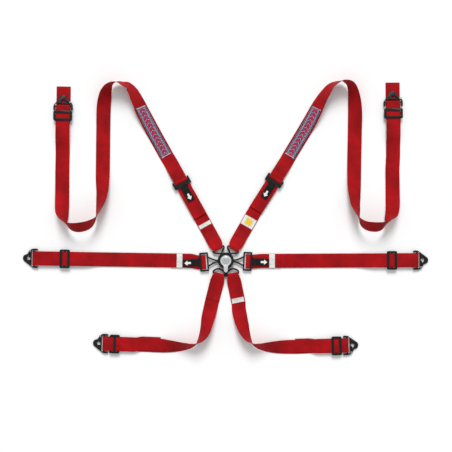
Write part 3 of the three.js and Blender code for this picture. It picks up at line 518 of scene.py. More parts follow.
# Dark thread: painted shade, the shade line along the step where a webbing end lies.
STEP_SHADE_THREAD = SpunThread("spun_thread_dark_red", "red_webbing", dye="5E0910")
BLACK_THREAD = SpunThread("spun_thread_black", "black_webbing", dye="303136")
PALE_THREAD = SpunThread("spun_thread_pale", "woven_patch", dye="B9BCC8")
NAVY_THREAD = SpunThread("spun_thread_navy", "woven_patch", dye="1A2350")
WHITE_INK = ScreenInk("screen_ink_white", "black_webbing")
PAPER = StudioPaper("background_paper", "")


# ---------------------------------------------------------------- mesh helpers


def placed(name: str, data: bpy.types.ID) -> Object:
    """A new object with its data, linked to the scene."""
    made = bpy.data.objects.new(name, data)
    bpy.context.scene.collection.objects.link(made)
    return made


def piece_from(name: str, work: bmesh.types.BMesh, smooth: bool = True) -> Object:
    """A new object from a bmesh, which is then freed.

    Args:
        name: The piece's name.
        work: Its geometry, in the row frame.
        smooth: Whether its faces are shaded smooth.

    Returns:
        The object, linked to the scene.
    """
    bmesh.ops.recalc_face_normals(work, faces=work.faces)
    mesh = bpy.data.meshes.new(name)
    work.to_mesh(mesh)
    work.free()
    if smooth:
        mesh.shade_smooth()
        mesh.set_sharp_from_angle(angle=math.radians(50))
    return placed(name, mesh)


def turned(
    name: str, profile: Iterable[tuple[float, float]], place: Matrix, sides: int = 48
) -> Object:
    """A piece turned on a lathe.

    Args:
        name: The piece's name.
        profile: Radius and height of each point, from the axis and back to it.
        place: Where its axis and base stand.
        sides: The number of facets round it.

    Returns:
        The object.
    """
    work = bmesh.new()
    points = [work.verts.new((radius, 0.0, height)) for radius, height in profile]
    edges = [work.edges.new(pair) for pair in zip(points, points[1:])]
    bmesh.ops.spin(
        work,
        geom=[*points, *edges],
        cent=(0, 0, 0),
        axis=(0, 0, 1),
        angle=math.tau,
        steps=sides,
    )
    bmesh.ops.remove_doubles(work, verts=work.verts, dist=1e-6)
    bmesh.ops.transform(work, matrix=place, verts=work.verts)
    return piece_from(name, work)


def eased(node: str, ease: float, finish: Finish, frame: dict) -> Object:
    """A fitting with its edges rounded over, standing for its solid.

    Args:
        node: The solid's node name.
        ease: The width of the rounding.
        finish: What it is made of.
        frame: The loaded frame.

    Returns:
        The new piece, riding on the solid's body.
    """
    source = frame["nodes"][node]
    work = bmesh.new()
    work.from_mesh(source.data)
    bmesh.ops.remove_doubles(work, verts=work.verts, dist=1e-6)
    bmesh.ops.dissolve_limit(
        work, angle_limit=math.radians(0.6), verts=work.verts, edges=work.edges
    )
    split = [face for face in work.faces if len(face.verts) > 4]
    bmesh.ops.triangulate(work, faces=split)
    made = piece_from(f"{node}_finished", work)
    bevel = made.modifiers.new("ease", "BEVEL")
    bevel.width = ease
    bevel.segments = 2
    bevel.limit_method = "ANGLE"
    bevel.angle_limit = math.radians(38)
    bevel.harden_normals = True
    finish.put_on(made, source["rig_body"])
    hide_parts(node)
    return made


def joint_line(frame: dict, name: str) -> tuple[Vector, Vector]:
    """A point on a joint's axis, and the way the axis runs."""
    joint = next(joint for joint in frame["joints"] if joint["name"] == name)
    return Vector(joint["pos_m"]), Vector(joint["axis"])


def plate(
    name: str, low: list[Vector], high: list[Vector], finish: Finish, body: str
) -> Object:
    """A thin plate between two outlines.

    Args:
        name: The piece's name.
        low: The corners of one face, in order.
        high: The corners of the other face.
        finish: What it is made of.
        body: The body that it rides on.

    Returns:
        The object.
    """
    work = bmesh.new()
    under = [work.verts.new(spot) for spot in low]
    over = [work.verts.new(spot) for spot in high]
    work.faces.new(under)
    work.faces.new(list(reversed(over)))
    for index in range(len(under)):
        turn = (index + 1) % len(under)
        work.faces.new((under[index], under[turn], over[turn], over[index]))
    made = piece_from(name, work, smooth=False)
    finish.put_on(made, body)
    return made


# ---------------------------------------------------------------- ribbons of webbing


@dataclass
class Station:
    """One cross-section of a ribbon: its middle, the way across it, and its size."""

    middle: Vector
    across: Vector
    width: float
    thickness: float

    def toward(self, other: Station, t: float, middle: Vector | None = None) -> Station:
        """The station a fraction of the way to another, or with its middle moved elsewhere."""
        place = self.middle.lerp(other.middle, t) if middle is None else middle
        across = self.across.lerp(other.across, t).normalized()
        return Station(place, across, self.width + (other.width - self.width) * t, self.thickness)


@dataclass
class Ribbon:
    """A flat strip followed along its length, with its arc length at every station."""

    stations: list[Station]
    arc: list[float] = field(default_factory=list)

    def __post_init__(self) -> None:
        """Measures the arc length at every station."""
        self.arc = [0.0]
        for before, after in zip(self.stations, self.stations[1:]):
            self.arc.append(self.arc[-1] + (after.middle - before.middle).length)

    @property
    def length(self) -> float:
        """The whole length of the strip."""
        return self.arc[-1]

    @classmethod
    def from_solid(cls, source: Object) -> Ribbon:
        """Reads a ribbon's stations back from its solid.

        Every station of the solid has four corners and is joined only to its neighbours, so
        walking out from one end's four corners gives the stations in order.

        Args:
            source: The solid's object.

        Returns:
            The ribbon.
        """
        work = bmesh.new()
        work.from_mesh(source.data)
        bmesh.ops.remove_doubles(work, verts=work.verts, dist=1e-6)
        work.verts.index_update()
        joined = [{edge.other_vert(v).index for edge in v.link_edges} for v in work.verts]
        places = [v.co.copy() for v in work.verts]
        work.free()
        rows = cls._walk(joined)
        corners = cls._first_corners([places[index] for index in rows[0]])
        stations = [cls._station(corners)]
        for row in rows[1:]:
            found = [places[index] for index in row]
            corners = min(
                permutations(found),
                key=lambda order: sum((a - b).length_squared for a, b in zip(order, corners)),
            )
            stations.append(cls._station(corners))
        return cls(stations)

    @staticmethod
    def _walk(joined: list[set[int]]) -> list[set[int]]:
        """The four corners of each station in turn, from which corners are joined."""
        for start, neighbours in enumerate(joined):
            for trio in combinations(sorted(neighbours), 3):
                cap = {start, *trio}
                beyond = set().union(*(joined[index] for index in cap)) - cap
                rows = [cap, beyond]
                seen = cap | beyond
                while len(rows[-1]) == 4:
                    after = set().union(*(joined[index] for index in rows[-1])) - seen
                    if not after:
                        break
                    rows.append(after)
                    seen |= after
                if len(seen) == len(joined) and all(len(row) == 4 for row in rows):
                    return rows
        raise ValueError("the solid isn't a ribbon of four-cornered stations")

    @staticmethod
    def _first_corners(found: list[Vector]) -> tuple[Vector, ...]:
        """An end's corners, in order round it, starting along a wide edge."""
        first = found[0]
        thin, wide, opposite = sorted(found[1:], key=lambda other: (other - first).length)
        return (first, wide, opposite, thin)

    @staticmethod
    def _station(corners: tuple[Vector, ...]) -> Station:
        """The station that four corners make, in order round it."""
        first, wide, opposite, thin = corners
        near = (first + thin) / 2
        far = (wide + opposite) / 2
        across = far - near
        return Station((near + far) / 2, across.normalized(), across.length, (thin - first).length)

    def smoothed(self, step: float, straight_step: float) -> Ribbon:
        """The same ribbon with its bends rounded.

        Each stretch is a cubic whose ends turn within the shorter of the two stretches that
        meet there, so a long flat run stays flat up to a tight bend.

        Args:
            step: The longest step through a bend.
            straight_step: The longest step along a straight run.

        Returns:
            The finer ribbon.
        """
        middles = [station.middle for station in self.stations]
        spans = [after - before for before, after in zip(middles, middles[1:])]
        ways = [spans[0].normalized()]
        ways += [(a.normalized() + b.normalized()).normalized() for a, b in zip(spans, spans[1:])]
        ways.append(spans[-1].normalized())
        fine: list[Station] = []
        for index, span in enumerate(spans):
            length = span.length
            before = spans[max(index - 1, 0)].length
            after = spans[min(index + 1, len(spans) - 1)].length
            leaving = ways[index] * min(length, before)
            arriving = ways[index + 1] * min(length, after)
            bent = ways[index].angle(ways[index + 1]) > math.radians(3)
            count = max(2, math.ceil(length / (step if bent else straight_step)))
            one, two = self.stations[index], self.stations[index + 1]
            for piece in range(count):
                t = piece / count
                middle = (
                    one.middle * (2 * t**3 - 3 * t**2 + 1)
                    + leaving * (t**3 - 2 * t**2 + t)
                    + two.middle * (3 * t**2 - 2 * t**3)
                    + arriving * (t**3 - t**2)
                )
                fine.append(one.toward(two, t, middle))
        fine.append(self.stations[-1])
        return Ribbon(fine)

    def at(self, along: float) -> tuple[Station, Vector]:
        """The station at an arc length and the way the ribbon runs there."""
        index = min(max(bisect_right(self.arc, along) - 1, 0), len(self.stations) - 2)
        one, two = self.stations[index], self.stations[index + 1]
        t = (along - self.arc[index]) / max(self.arc[index + 1] - self.arc[index], 1e-9)
        return one.toward(two, t), (two.middle - one.middle).normalized()

    def point(self, along: float, across: float, height: float) -> Vector:
        """A point over the ribbon's face: height is measured from its middle plane."""
        station, way = self.at(along)
        face = way.cross(station.across).normalized()
        return station.middle + station.across * across + face * height

    def find(self, x: float, y: float) -> tuple[float, int]:
        """The uppermost place of the ribbon over a point of the ground.

        Args:
            x: The point's X.
            y: The point's Y.

        Returns:
            The arc length there, and 1 or -1 for the face that looks up.
        """
        steps = max(2, math.ceil(self.length / MM))
        places = [self.length * step / steps for step in range(steps + 1)]
        gaps = []
        for along in places:
            middle = self.at(along)[0].middle
            gaps.append((math.hypot(middle.x - x, middle.y - y), middle.z, along))
        nearest = min(gap for gap, _, _ in gaps)
        _, _, best = max(
            (entry for entry in gaps if entry[0] < nearest + 5 * MM),
            key=lambda entry: round(entry[1] / MM) * 100 - entry[0] / MM,
        )
        station, way = self.at(best)
        return best, 1 if way.cross(station.across).z > 0 else -1

    def strip(
        self, start: float, end: float, width: float, height: float, thickness: float
    ) -> Ribbon:
        """A narrower strip lying over part of the ribbon, such as a label sewn to it."""
        count = max(2, math.ceil((end - start) / (4 * MM)))
        stations = []
        for step in range(count + 1):
            along = start + (end - start) * step / count
            across = self.at(along)[0].across
            stations.append(Station(self.point(along, 0, height), across, width, thickness))
        return Ribbon(stations)

    def woven(self, name: str, flat_edges: bool = False) -> Object:
        """The ribbon as a closed piece with rounded selvedges and a lay for its weave.

        Args:
            name: The piece's name.
            flat_edges: Whether it is cut square at its edges, as a label is.

        Returns:
            The object. Its weave map holds metres along and metres across.
        """
        upper = [(-1, 0), (-0.985, 0.7), (-0.95, 1), (-0.5, 0.97), (0, 0.96)]
        upper += [(-side, rise) for side, rise in reversed(upper[:-1])]
        if flat_edges:
            upper = [(-1, 0.6), (-0.99, 1), (0, 1), (0.99, 1), (1, 0.6)]
        section = upper + [(side, -rise) for side, rise in reversed(upper) if rise > 0.05]
        work = bmesh.new()
        lay = work.loops.layers.uv.new("weave")
        spots = {}
        rows = []
        for index, (station, along) in enumerate(zip(self.stations, self.arc)):
            face = self._way(index).cross(station.across).normalized()
            row = []
            for side, rise in section:
                out = side * station.width / 2
                place = station.middle + station.across * out
                row.append(work.verts.new(place + face * (rise * station.thickness / 2)))
                spots[row[-1]] = (along, out)
            rows.append(row)
        for row, after in zip(rows, rows[1:]):
            for corner in range(len(section)):
                turn = (corner + 1) % len(section)
                work.faces.new((row[corner], row[turn], after[turn], after[corner]))
        for row in (rows[0], rows[-1]):
            work.faces.new(row)
        for face in work.faces:
            for loop in face.loops:
                loop[lay].uv = spots[loop.vert]
        return piece_from(name, work)

    def _way(self, index: int) -> Vector:
        """The way the ribbon runs at one of its stations, between its neighbours."""
        before = self.stations[max(index - 1, 0)].middle
        after = self.stations[min(index + 1, len(self.stations) - 1)].middle
        return (after - before).normalized()


@dataclass(frozen=True)
class Needlework:
    """Lockstitching: the thread, its stitch and the gap between stitches."""

    stitch: float = 3.4 * MM
    gap: float = 0.9 * MM
    thread: float = 0.34 * MM

    def seam(self, start: tuple[float, float], end: tuple[float, float]) -> list[tuple]:
        """The stitches of a straight seam, as pairs of (along, across) points."""
        length = math.dist(start, end)
        count = max(1, round(length / (self.stitch + self.gap)))
        pitch = length / count
        filled = self.stitch / (self.stitch + self.gap)
        pairs = []
        for index in range(count):
            ends = (index * pitch / length, (index + filled) * pitch / length)
            pairs.append(
                tuple(tuple(a + (b - a) * t for a, b in zip(start, end)) for t in ends)
            )
        return pairs

    def box(self, start: float, end: float, half: float) -> list[tuple]:
        """The stitches of a rectangle, centred across the webbing."""
        corners = [(start, -half), (end, -half), (end, half), (start, half)]
        stitches = []
        for corner, following in zip(corners, corners[1:] + corners[:1]):
            stitches += self.seam(corner, following)
        return stitches

    def rows(self, places: Iterable[float], half: float) -> list[tuple]:
        """The stitches of straight rows across the webbing."""
        stitches = []
        for along in places:
            stitches += self.seam((along, -half), (along, half))
        return stitches

    def load_pattern(self, start: float, end: float, half: float) -> list[tuple]:
        """A box seam filled with lengthwise zigzags, as on a load-bearing joint."""
        stitches = self.box(start, end, half)
        rows = 5
        swing = 0.62 * half / rows
        tooth = 4.2 * MM
        count = max(2, round((end - start - 4 * MM) / tooth))
        for row in range(rows):
            centre = half * (2 * (row + 0.5) / rows - 1)
            points = []
            for step in range(count + 1):
                along = start + 2 * MM + (end - start - 4 * MM) * step / count
                points.append((along, centre + (swing if step % 2 else -swing)))
            for one, two in zip(points, points[1:]):
                stitches += self.seam(one, two)
        return stitches

    def sew(
        self,
        name: str,
        ribbon: Ribbon,
        stitches: list[tuple],
        finish: Finish,
        body: str,
        faces: tuple[int, ...] = (1, -1),
        lift: float = 0.0,
    ) -> Object:
        """Lays stitches on a ribbon's faces.

        Args:
            name: The piece's name.
            ribbon: What is sewn.
            stitches: Pairs of (along, across) points.
            finish: The thread.
            body: The body that the thread rides on.
            faces: The faces that show it, 1 or -1.
            lift: How much further out the stitches lie than the ribbon's own face.

        Returns:
            All the stitches as one piece.
        """
        work = bmesh.new()
        for one, two in stitches:
            for side in faces:
                height = side * (ribbon.stations[0].thickness / 2 + lift)
                rise = side * self.thread * 0.75
                first = ribbon.point(*one, height)
                last = ribbon.point(*two, height)
                crown = ribbon.point((one[0] + two[0]) / 2, (one[1] + two[1]) / 2, height + rise)
                self._stitch(work, first, crown, last)
        made = piece_from(name, work)
        finish.put_on(made, body)
        return made

    def _stitch(self, work: bmesh.types.BMesh, first: Vector, crown: Vector, last: Vector) -> None:
        """Adds one stitch: two tips that dive into the cloth and a rounded back between."""
        rise = crown - (first + last) / 2
        out = rise.normalized()
        side = (last - first).normalized().cross(out)
        rings = []
        for along, size in ((0.14, 0.8), (0.5, 1.0), (0.86, 0.8)):
            base = first.lerp(last, along) + out * rise.length * size
            ring = []
            for step in range(5):
                angle = math.tau * step / 5
                offset = side * math.cos(angle) + out * math.sin(angle)
                ring.append(work.verts.new(base + offset * self.thread * size))
            rings.append(ring)
        tips = (work.verts.new(first), work.verts.new(last))
        for ring, tip in ((rings[0], tips[0]), (rings[-1], tips[1])):
            for step in range(5):
                work.faces.new((ring[step], ring[(step + 1) % 5], tip))
        for ring, after in zip(rings, rings[1:]):
            for step in range(5):
                turn = (step + 1) % 5
                work.faces.new((ring[step], ring[turn], after[turn], after[step]))


NEEDLE = Needlework()


def printed_shape(
    name: str,
    ribbon: Ribbon,
    outline: list[tuple[float, float]],
    height: float,
    finish: Finish,
    body: str,
) -> Object:
    """A thin printed shape lying on a ribbon.

    Args:
        name: The piece's name.
        ribbon: What it is printed on.
        outline: Its (along, across) corners, in order.
        height: Its signed distance from the ribbon's middle plane.
        finish: The ink.
        body: The body that it rides on.

    Returns:
        The object.
    """
    skin = math.copysign(0.12 * MM, height)
    low = [ribbon.point(*spot, height) for spot in outline]
    high = [ribbon.point(*spot, height + skin) for spot in outline]
    return plate(name, low, high, finish, body)


@dataclass
class Strap:
    """A length of webbing with what is sewn or printed on it."""

    node: str
    body: str
    finish: Finish
    frame: dict
    held: str = "laid"
    step: float = 4 * MM
    straight_step: float = 12 * MM
    trim: list[Object] = field(default_factory=list)

    def __post_init__(self) -> None:
        """Reads the strap's solid and rounds its bends."""
        solid = self.frame["nodes"][self.node]
        self.ribbon = Ribbon.from_solid(solid).smoothed(self.step, self.straight_step)

    def weave(self) -> Object:
        """Makes the webbing in place of its solid."""
        self.piece = self.ribbon.woven(f"{self.node}_woven")
        self.finish.put_on(self.piece, self.body)
        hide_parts(self.node)
        return self.piece

    def label(self, name: str, x: float, y: float, length: float, width: float) -> Ribbon:
        """Sews a white label tape on the face that looks up.

        Args:
            name: The label's name.
            x: The X of its middle.
            y: The Y of its middle.
            length: Its size along the strap.
            width: Its size across the strap.

        Returns:
            The label's own ribbon, in case something is printed on it.
        """
        along, face = self.ribbon.find(x, y)
        height = face * (self.ribbon.stations[0].thickness / 2 + 0.14 * MM)
        start, end = along - length / 2, along + length / 2
        tape = self.ribbon.strip(start, end, width, height, 0.24 * MM)
        piece = tape.woven(name, flat_edges=True)
        LABEL_TAPE.put_on(piece, self.body)
        inset = 1.2 * MM
        seams = NEEDLE.rows((start + inset, end - inset), width / 2 - inset)
        sewn = NEEDLE.sew(
            f"{name}_stitches", self.ribbon, seams, PALE_THREAD, self.body, (face,), 0.24 * MM
        )
        self.trim += [piece, sewn]
        return tape

    def load_stitching(self, name: str, x: float, y: float, length: float, half: float) -> None:
        """Sews a load-bearing pattern where two layers join, centred over a point."""
        along, _ = self.ribbon.find(x, y)
        stitches = NEEDLE.load_pattern(along - length / 2, along + length / 2, half)
        self.trim.append(NEEDLE.sew(name, self.ribbon, stitches, RED_THREAD, self.body))

    def cross_seam(self, name: str, x: float, y: float, half: float) -> None:
        """Sews two rows straight across in dark thread, where the webbing's end lies under or over
        it; the dark thread is painted shade along that step.
        """
        along, _ = self.ribbon.find(x, y)
        stitches = NEEDLE.rows((along - 1.5 * MM, along + 1.5 * MM), half)
        self.trim.append(NEEDLE.sew(name, self.ribbon, stitches, STEP_SHADE_THREAD, self.body))

    def declare(self, flat_width: float, rests_on: Iterable[object]) -> None:
        """Logs how much webbing the strap takes."""
        log.info("%s: %.0f mm of webbing", self.piece.name, self.ribbon.length / MM)


# ---------------------------------------------------------------- buckle


@dataclass
class CamLockBuckle:
    """The rotary buckle: coated housing, plated latch and a turned handle with a ringed disc."""

    frame: dict
    ease: float = 0.5 * MM
    fine_ease: float = 0.2 * MM
    handle_ease: float = 0.9 * MM
    disc_radius: float = 14.2 * MM
    disc_foot: float = 26.6 * MM
    disc_top: float = 27.9 * MM
    groove_radii: tuple[float, ...] = (6.0 * MM, 10.6 * MM)
    groove_half: float = 0.8 * MM
    groove_depth: float = 0.4 * MM
    stud_count: int = 10
    stud_ring: float = 26.0 * MM
    stud_foot: float = 21.25 * MM

    def build(self) -> None:
        """Makes every piece of the buckle."""
        eased("buckle_back_plate", self.ease, BLACK_STEEL, self.frame)
        for node in ("buckle_housing", "buckle_cover"):
            eased(node, self.ease, BLACK_ALLOY, self.frame)
        eased("release_handle", self.handle_ease, SILVER_ALLOY, self.frame)
        small = ["cam_rotor", "centre_screw", "back_screw_1", "back_screw_2", "back_screw_3"]
        belts = ("lap_right", "shoulder_right", "shoulder_left", "lap_left", "crotch")
        for node in small + [f"lock_pin_{belt}" for belt in belts]:
            eased(node, self.fine_ease, BRIGHT_STEEL, self.frame)
        spring = self.frame["nodes"]["return_spring"]
        BRIGHT_STEEL.put_on(spring)
        self.disc()
        self.pointer()
        self.cover_studs()
        log.info("buckle: housing, latch, handle and studs")

    def disc(self) -> None:
        """Turns the ringed disc set into the handle."""
        profile = [(0.0, self.disc_foot), (self.disc_radius, self.disc_foot)]
        profile += [(self.disc_radius, self.disc_top - 0.3 * MM)]
        profile += [(self.disc_radius - 0.3 * MM, self.disc_top)]
        for radius in sorted(self.groove_radii, reverse=True):
            for share, depth in ((1, 0), (0.6, 1), (-0.6, 1), (-1, 0)):
                height = self.disc_top - self.groove_depth * depth
                profile.append((radius + self.groove_half * share, height))
        profile.append((0.0, self.disc_top))
        disc = turned("handle_disc", profile, Matrix.Identity(4), sides=72)
        SILVER_ALLOY.put_on(disc, "handle")
        for index, radius in enumerate(self.groove_radii):
            # Grey rings in the grooves are painted shade.
            self._groove_ink(index, radius)

    def _groove_ink(self, index: int, radius: float) -> None:
        """Lays a grey ring at the bottom of a groove of the disc: painted shade in the groove."""
        foot = self.disc_top - self.groove_depth + 0.02 * MM
        half = self.groove_half * 0.55
        loop = [(radius - half, foot), (radius + half, foot)]
        loop += [(radius + half, foot + 0.1 * MM), (radius - half, foot + 0.1 * MM)]
        ring = turned(f"handle_groove_ink_{index + 1}", [*loop, loop[0]], Matrix.Identity(4), 72)
        DARK_INK_AND_GROOVE_SHADE.put_on(ring, "handle")

    def pointer(self) -> None:
        """Prints a plain pointer at the middle of the disc."""
        height = self.disc_top
        outline = [(0.0, 3.8 * MM), (-3.2 * MM, -2.6 * MM), (0.0, -1.2 * MM), (3.2 * MM, -2.6 * MM)]
        low = [Vector((x, y, height)) for x, y in outline]
        high = [Vector((x, y, height + 0.1 * MM)) for x, y in outline]
        plate("handle_pointer", low, high, DARK_INK_AND_GROOVE_SHADE, "handle")

    def cover_studs(self) -> None:
        """Sets a ring of low domed studs round the cover, clear of the handle that turns over."""
        profile = [(0.0, 0.0), (1.5 * MM, 0.0), (1.45 * MM, 0.1 * MM)]
        profile += [(1.1 * MM, 0.21 * MM), (0.5 * MM, 0.27 * MM), (0.0, 0.29 * MM)]
        for index in range(self.stud_count):
            angle = math.tau * (index + 0.5) / self.stud_count
            x, y = self.stud_ring * math.cos(angle), self.stud_ring * math.sin(angle)
            place = Matrix.Translation((x, y, self.stud_foot))
            stud = turned(f"cover_stud_{index + 1}", profile, place, sides=16)
            BLACK_ALLOY.put_on(stud, "buckle")


# ---------------------------------------------------------------- fittings


@dataclass
class ClipBracket:
    """An end bracket with its sprung gate, rivet and slider."""

    key: str
    frame: dict
    ease: float = 0.5 * MM
    gate_ease: float = 0.4 * MM
    rivet_radius: float = 3.3 * MM
    rivet_height: float = 1.2 * MM
    rivet_base: float = 1.8 * MM

    def build(self) -> None:
        """Makes the bracket's pieces."""
        parts = (("end_bracket", self.ease), ("bracket_gate", self.gate_ease), ("slider", self.ease))
        for part, ease in parts:
            eased(f"{part}_{self.key}", ease, BLACK_STEEL, self.frame)
        self.rivet()
        log.info("bracket %s: plate, gate, rivet and slider", self.key)

    def rivet(self) -> None:
        """Domes the rivet that the gate turns on."""
        pin, normal = joint_line(self.frame, f"gate_{self.key}_turn")
        base = pin + normal * self.rivet_base
        turn = UP.rotation_difference(normal).to_matrix().to_4x4()
        profile = [(0.0, 0.0), (self.rivet_radius, 0.0)]
        for step in range(1, 6):
            angle = math.pi / 2 * step / 5
            radius = self.rivet_radius * math.cos(angle)
            profile.append((max(radius, 0.0), self.rivet_height * math.sin(angle)))
        head = turned(f"gate_rivet_{self.key}", profile, Matrix.Translation(base) @ turn, 24)
        BRIGHT_STEEL.put_on(head, f"gate_{self.key}")


@dataclass
class PullTab:
    """A folded black tape loop on its pin, with a printed arrow that says which way to pull."""

    node: str
    body: str
    frame: dict
    arrow: float = 23 * MM
    head: float = 11 * MM
    head_half: float = 9.2 * MM
    shaft_half: float = 3.6 * MM
    tip_inset: float = 6 * MM
    seam_out: float = 13 * MM
    seam_depth: float = 5 * MM
    seam_half: float = 9.5 * MM

    def build(self) -> None:
        """Weaves the tab, sews it and prints its arrow."""
        tab = Strap(self.node, self.body, BLACK_TAPE, self.frame, step=2 * MM)
        tab.weave()
        faces = self._top(tab)
        sewn_end = tab.ribbon.length / 2 + self.seam_out
        seams = NEEDLE.box(sewn_end - self.seam_depth, sewn_end, self.seam_half)
        sewn = NEEDLE.sew(
            f"{self.node}_stitches", tab.ribbon, seams, BLACK_THREAD, self.body, faces
        )
        tip = tab.ribbon.length - self.tip_inset
        root = tip - self.arrow
        neck = tip - self.head
        outline = [(tip, 0.0), (neck, self.head_half), (neck, self.shaft_half)]
        outline += [(root, self.shaft_half), (root, -self.shaft_half), (neck, -self.shaft_half)]
        outline += [(neck, -self.head_half)]
        height = faces[0] * (tab.ribbon.stations[0].thickness / 2 + 0.02 * MM)
        mark = printed_shape(
            f"{self.node}_arrow", tab.ribbon, outline, height, WHITE_INK, self.body
        )
        tab.trim += [sewn, mark]
        tab.held = "folded"
        tab.declare(25 * MM, [self.body])

    @staticmethod
    def _top(tab: Strap) -> tuple[int, ...]:
        """The face of the tab's upper layer that looks up."""
        station, way = tab.ribbon.at(tab.ribbon.length - 5 * MM)
        return (1,) if way.cross(station.across).z > 0 else (-1,)


# ---------------------------------------------------------------- straps


@dataclass
class Belt:
    """What every belt has: its side, the frame it is built round, and the floor it lies on."""

    side: Side
    frame: dict
    floor: Object

    def fittings(self, *pieces: tuple[str, float, Finish]) -> None:
        """Makes this side's fittings from their names, easings and finishes."""
        for name, ease, finish in pieces:
            eased(f"{name}_{self.side.tag}", ease, finish, self.frame)

    def webbing(self, node: str, body: str) -> Strap:
        """Weaves one of this side's straps."""
        tag = self.side.tag
        strap = Strap(f"{node}_{tag}", f"{body}_{tag}", RED_WEBBING, self.frame, "folded")
        strap.weave()
        return strap

    def ends(self, key: str, tab: bool = True) -> None:
        """Makes this side's pull tab, where it has one, and its end bracket."""
        name = f"{key}_{self.side.tag}"
        if tab:
            PullTab(f"pull_tab_{name}", f"pull_tab_{name}", self.frame).build()
        ClipBracket(name, self.frame).build()


@dataclass
class LapBelt(Belt):
    """One lap belt: tongue with adjuster frame, grip bar, webbing, label, tab and bracket."""

    label_x: float = 164 * MM
    label_size: tuple[float, float] = (20 * MM, 49 * MM)
    seam_x: float = 194 * MM
    seam_half: float = 23 * MM

    def build(self) -> None:
        """Makes the belt."""
        tag = self.side.tag
        sign = self.side.value
        self.fittings(
            ("lap_tongue", 0.45 * MM, BLACK_STEEL), ("lap_grip_bar", 0.3 * MM, BRIGHT_STEEL)
        )
        strap = self.webbing("lap_strap", "lap_tongue")
        strap.label(f"lap_label_{tag}", sign * self.label_x, 0.0, *self.label_size)
        # Dark seam at the tail's end: painted shade for the step's shade line.
        strap.cross_seam(f"lap_cross_seam_{tag}", sign * self.seam_x, 0.0, self.seam_half)
        strap.declare(50 * MM, [self.floor])
        self.ends("lap")


@dataclass
class ShoulderBelt(Belt):
    """One shoulder belt: tongue, lower strap, tilt adjuster, upper strap, patch and bracket."""

    label_spot: tuple[float, float] = (-73 * MM, 127 * MM)
    label_size: tuple[float, float] = (14 * MM, 45 * MM)
    sticker: float = 0.0
    sewn_out: float = 50 * MM
    sewn_size: tuple[float, float] = (30 * MM, 20 * MM)
    fold: tuple[tuple[float, float], ...] = (
        (0.8 * MM, 9.2 * MM),
        (1.8 * MM, 10.7 * MM),
        (4.0 * MM, 12.2 * MM),
        (7.0 * MM, 12.9 * MM),
        (10.0 * MM, 12.8 * MM),
        (12.6 * MM, 12.2 * MM),
    )

    def build(self) -> None:
        """Makes the belt."""
        tag = self.side.tag
        self.fittings(
            ("shoulder_tongue", 0.4 * MM, BLACK_STEEL),
            ("shoulder_adjuster", 0.5 * MM, BLACK_STEEL),
            ("shoulder_grip_bar", 0.25 * MM, BRIGHT_STEEL),
        )
        self.lower(tag)
        self.upper(tag)
        self.ends("shoulder")

    def lower(self, tag: str) -> None:
        """Weaves, sews and labels the strap between the tongue and the adjuster."""
        strap = self.webbing("shoulder_strap_lower", "lower_strap")
        tape = strap.label(f"shoulder_label_{tag}", *self.label_spot, *self.label_size)
        if self.sticker:
            self._sticker(tag, strap, tape)
        bar, axis = joint_line(self.frame, f"lower_strap_{tag}_pivot")
        spot = bar + UP.cross(axis) * self.sewn_out
        strap.load_stitching(f"tongue_stitching_{tag}", spot.x, spot.y, *self.sewn_size)
        strap.declare(50 * MM, [self.floor])

    def _sticker(self, tag: str, strap: Strap, tape: Ribbon) -> None:
        """Lays a plain yellow square on the label."""
        middle = tape.length / 2
        half = self.sticker / 2
        face = 1 if tape.at(middle)[1].cross(tape.at(middle)[0].across).z > 0 else -1
        outline = [(middle - half, -half), (middle + half, -half)]
        outline += [(middle + half, half), (middle - half, half)]
        square = printed_shape(
            f"label_square_{tag}", tape, outline, face * 0.13 * MM, YELLOW_TAPE, strap.body
        )
        strap.trim.append(square)

    def upper(self, tag: str) -> None:
        """Weaves the long upper strap, its patch and its gathered fold over the adjuster."""
        strap = self.webbing("shoulder_strap_upper", "upper_strap")
        patch = Strap(f"shoulder_patch_{tag}", f"upper_strap_{tag}", PATCH_CLOTH, self.frame)
        patch.weave()
        inset = 1.0 * MM
        half = patch.ribbon.stations[0].width / 2 - inset
        stitches = NEEDLE.box(inset, patch.ribbon.length - inset, half)
        border = NEEDLE.sew(
            f"patch_stitches_{tag}", patch.ribbon, stitches, NAVY_THREAD, f"upper_strap_{tag}"
        )
        patch.trim.append(border)
        strap.declare(50 * MM, [self.floor])
        patch.declare(39 * MM, [strap.piece])
        self.fold_over_bar(tag)

    def fold_over_bar(self, tag: str) -> None:
        """Weaves the short band of webbing that bulges over the adjuster's grip bar."""
        base, across = joint_line(self.frame, f"adjuster_{tag}_tilt")
        away = across.cross(UP)
        base.z = 0.0
        stations = [
            Station(base + away * out + UP * height, across, 49.5 * MM, 1.1 * MM)
            for out, height in self.fold
        ]
        band = Ribbon(stations).smoothed(1.5 * MM, 4 * MM)
        piece = band.woven(f"adjuster_fold_{tag}")
        RED_WEBBING.put_on(piece, f"adjuster_{tag}")


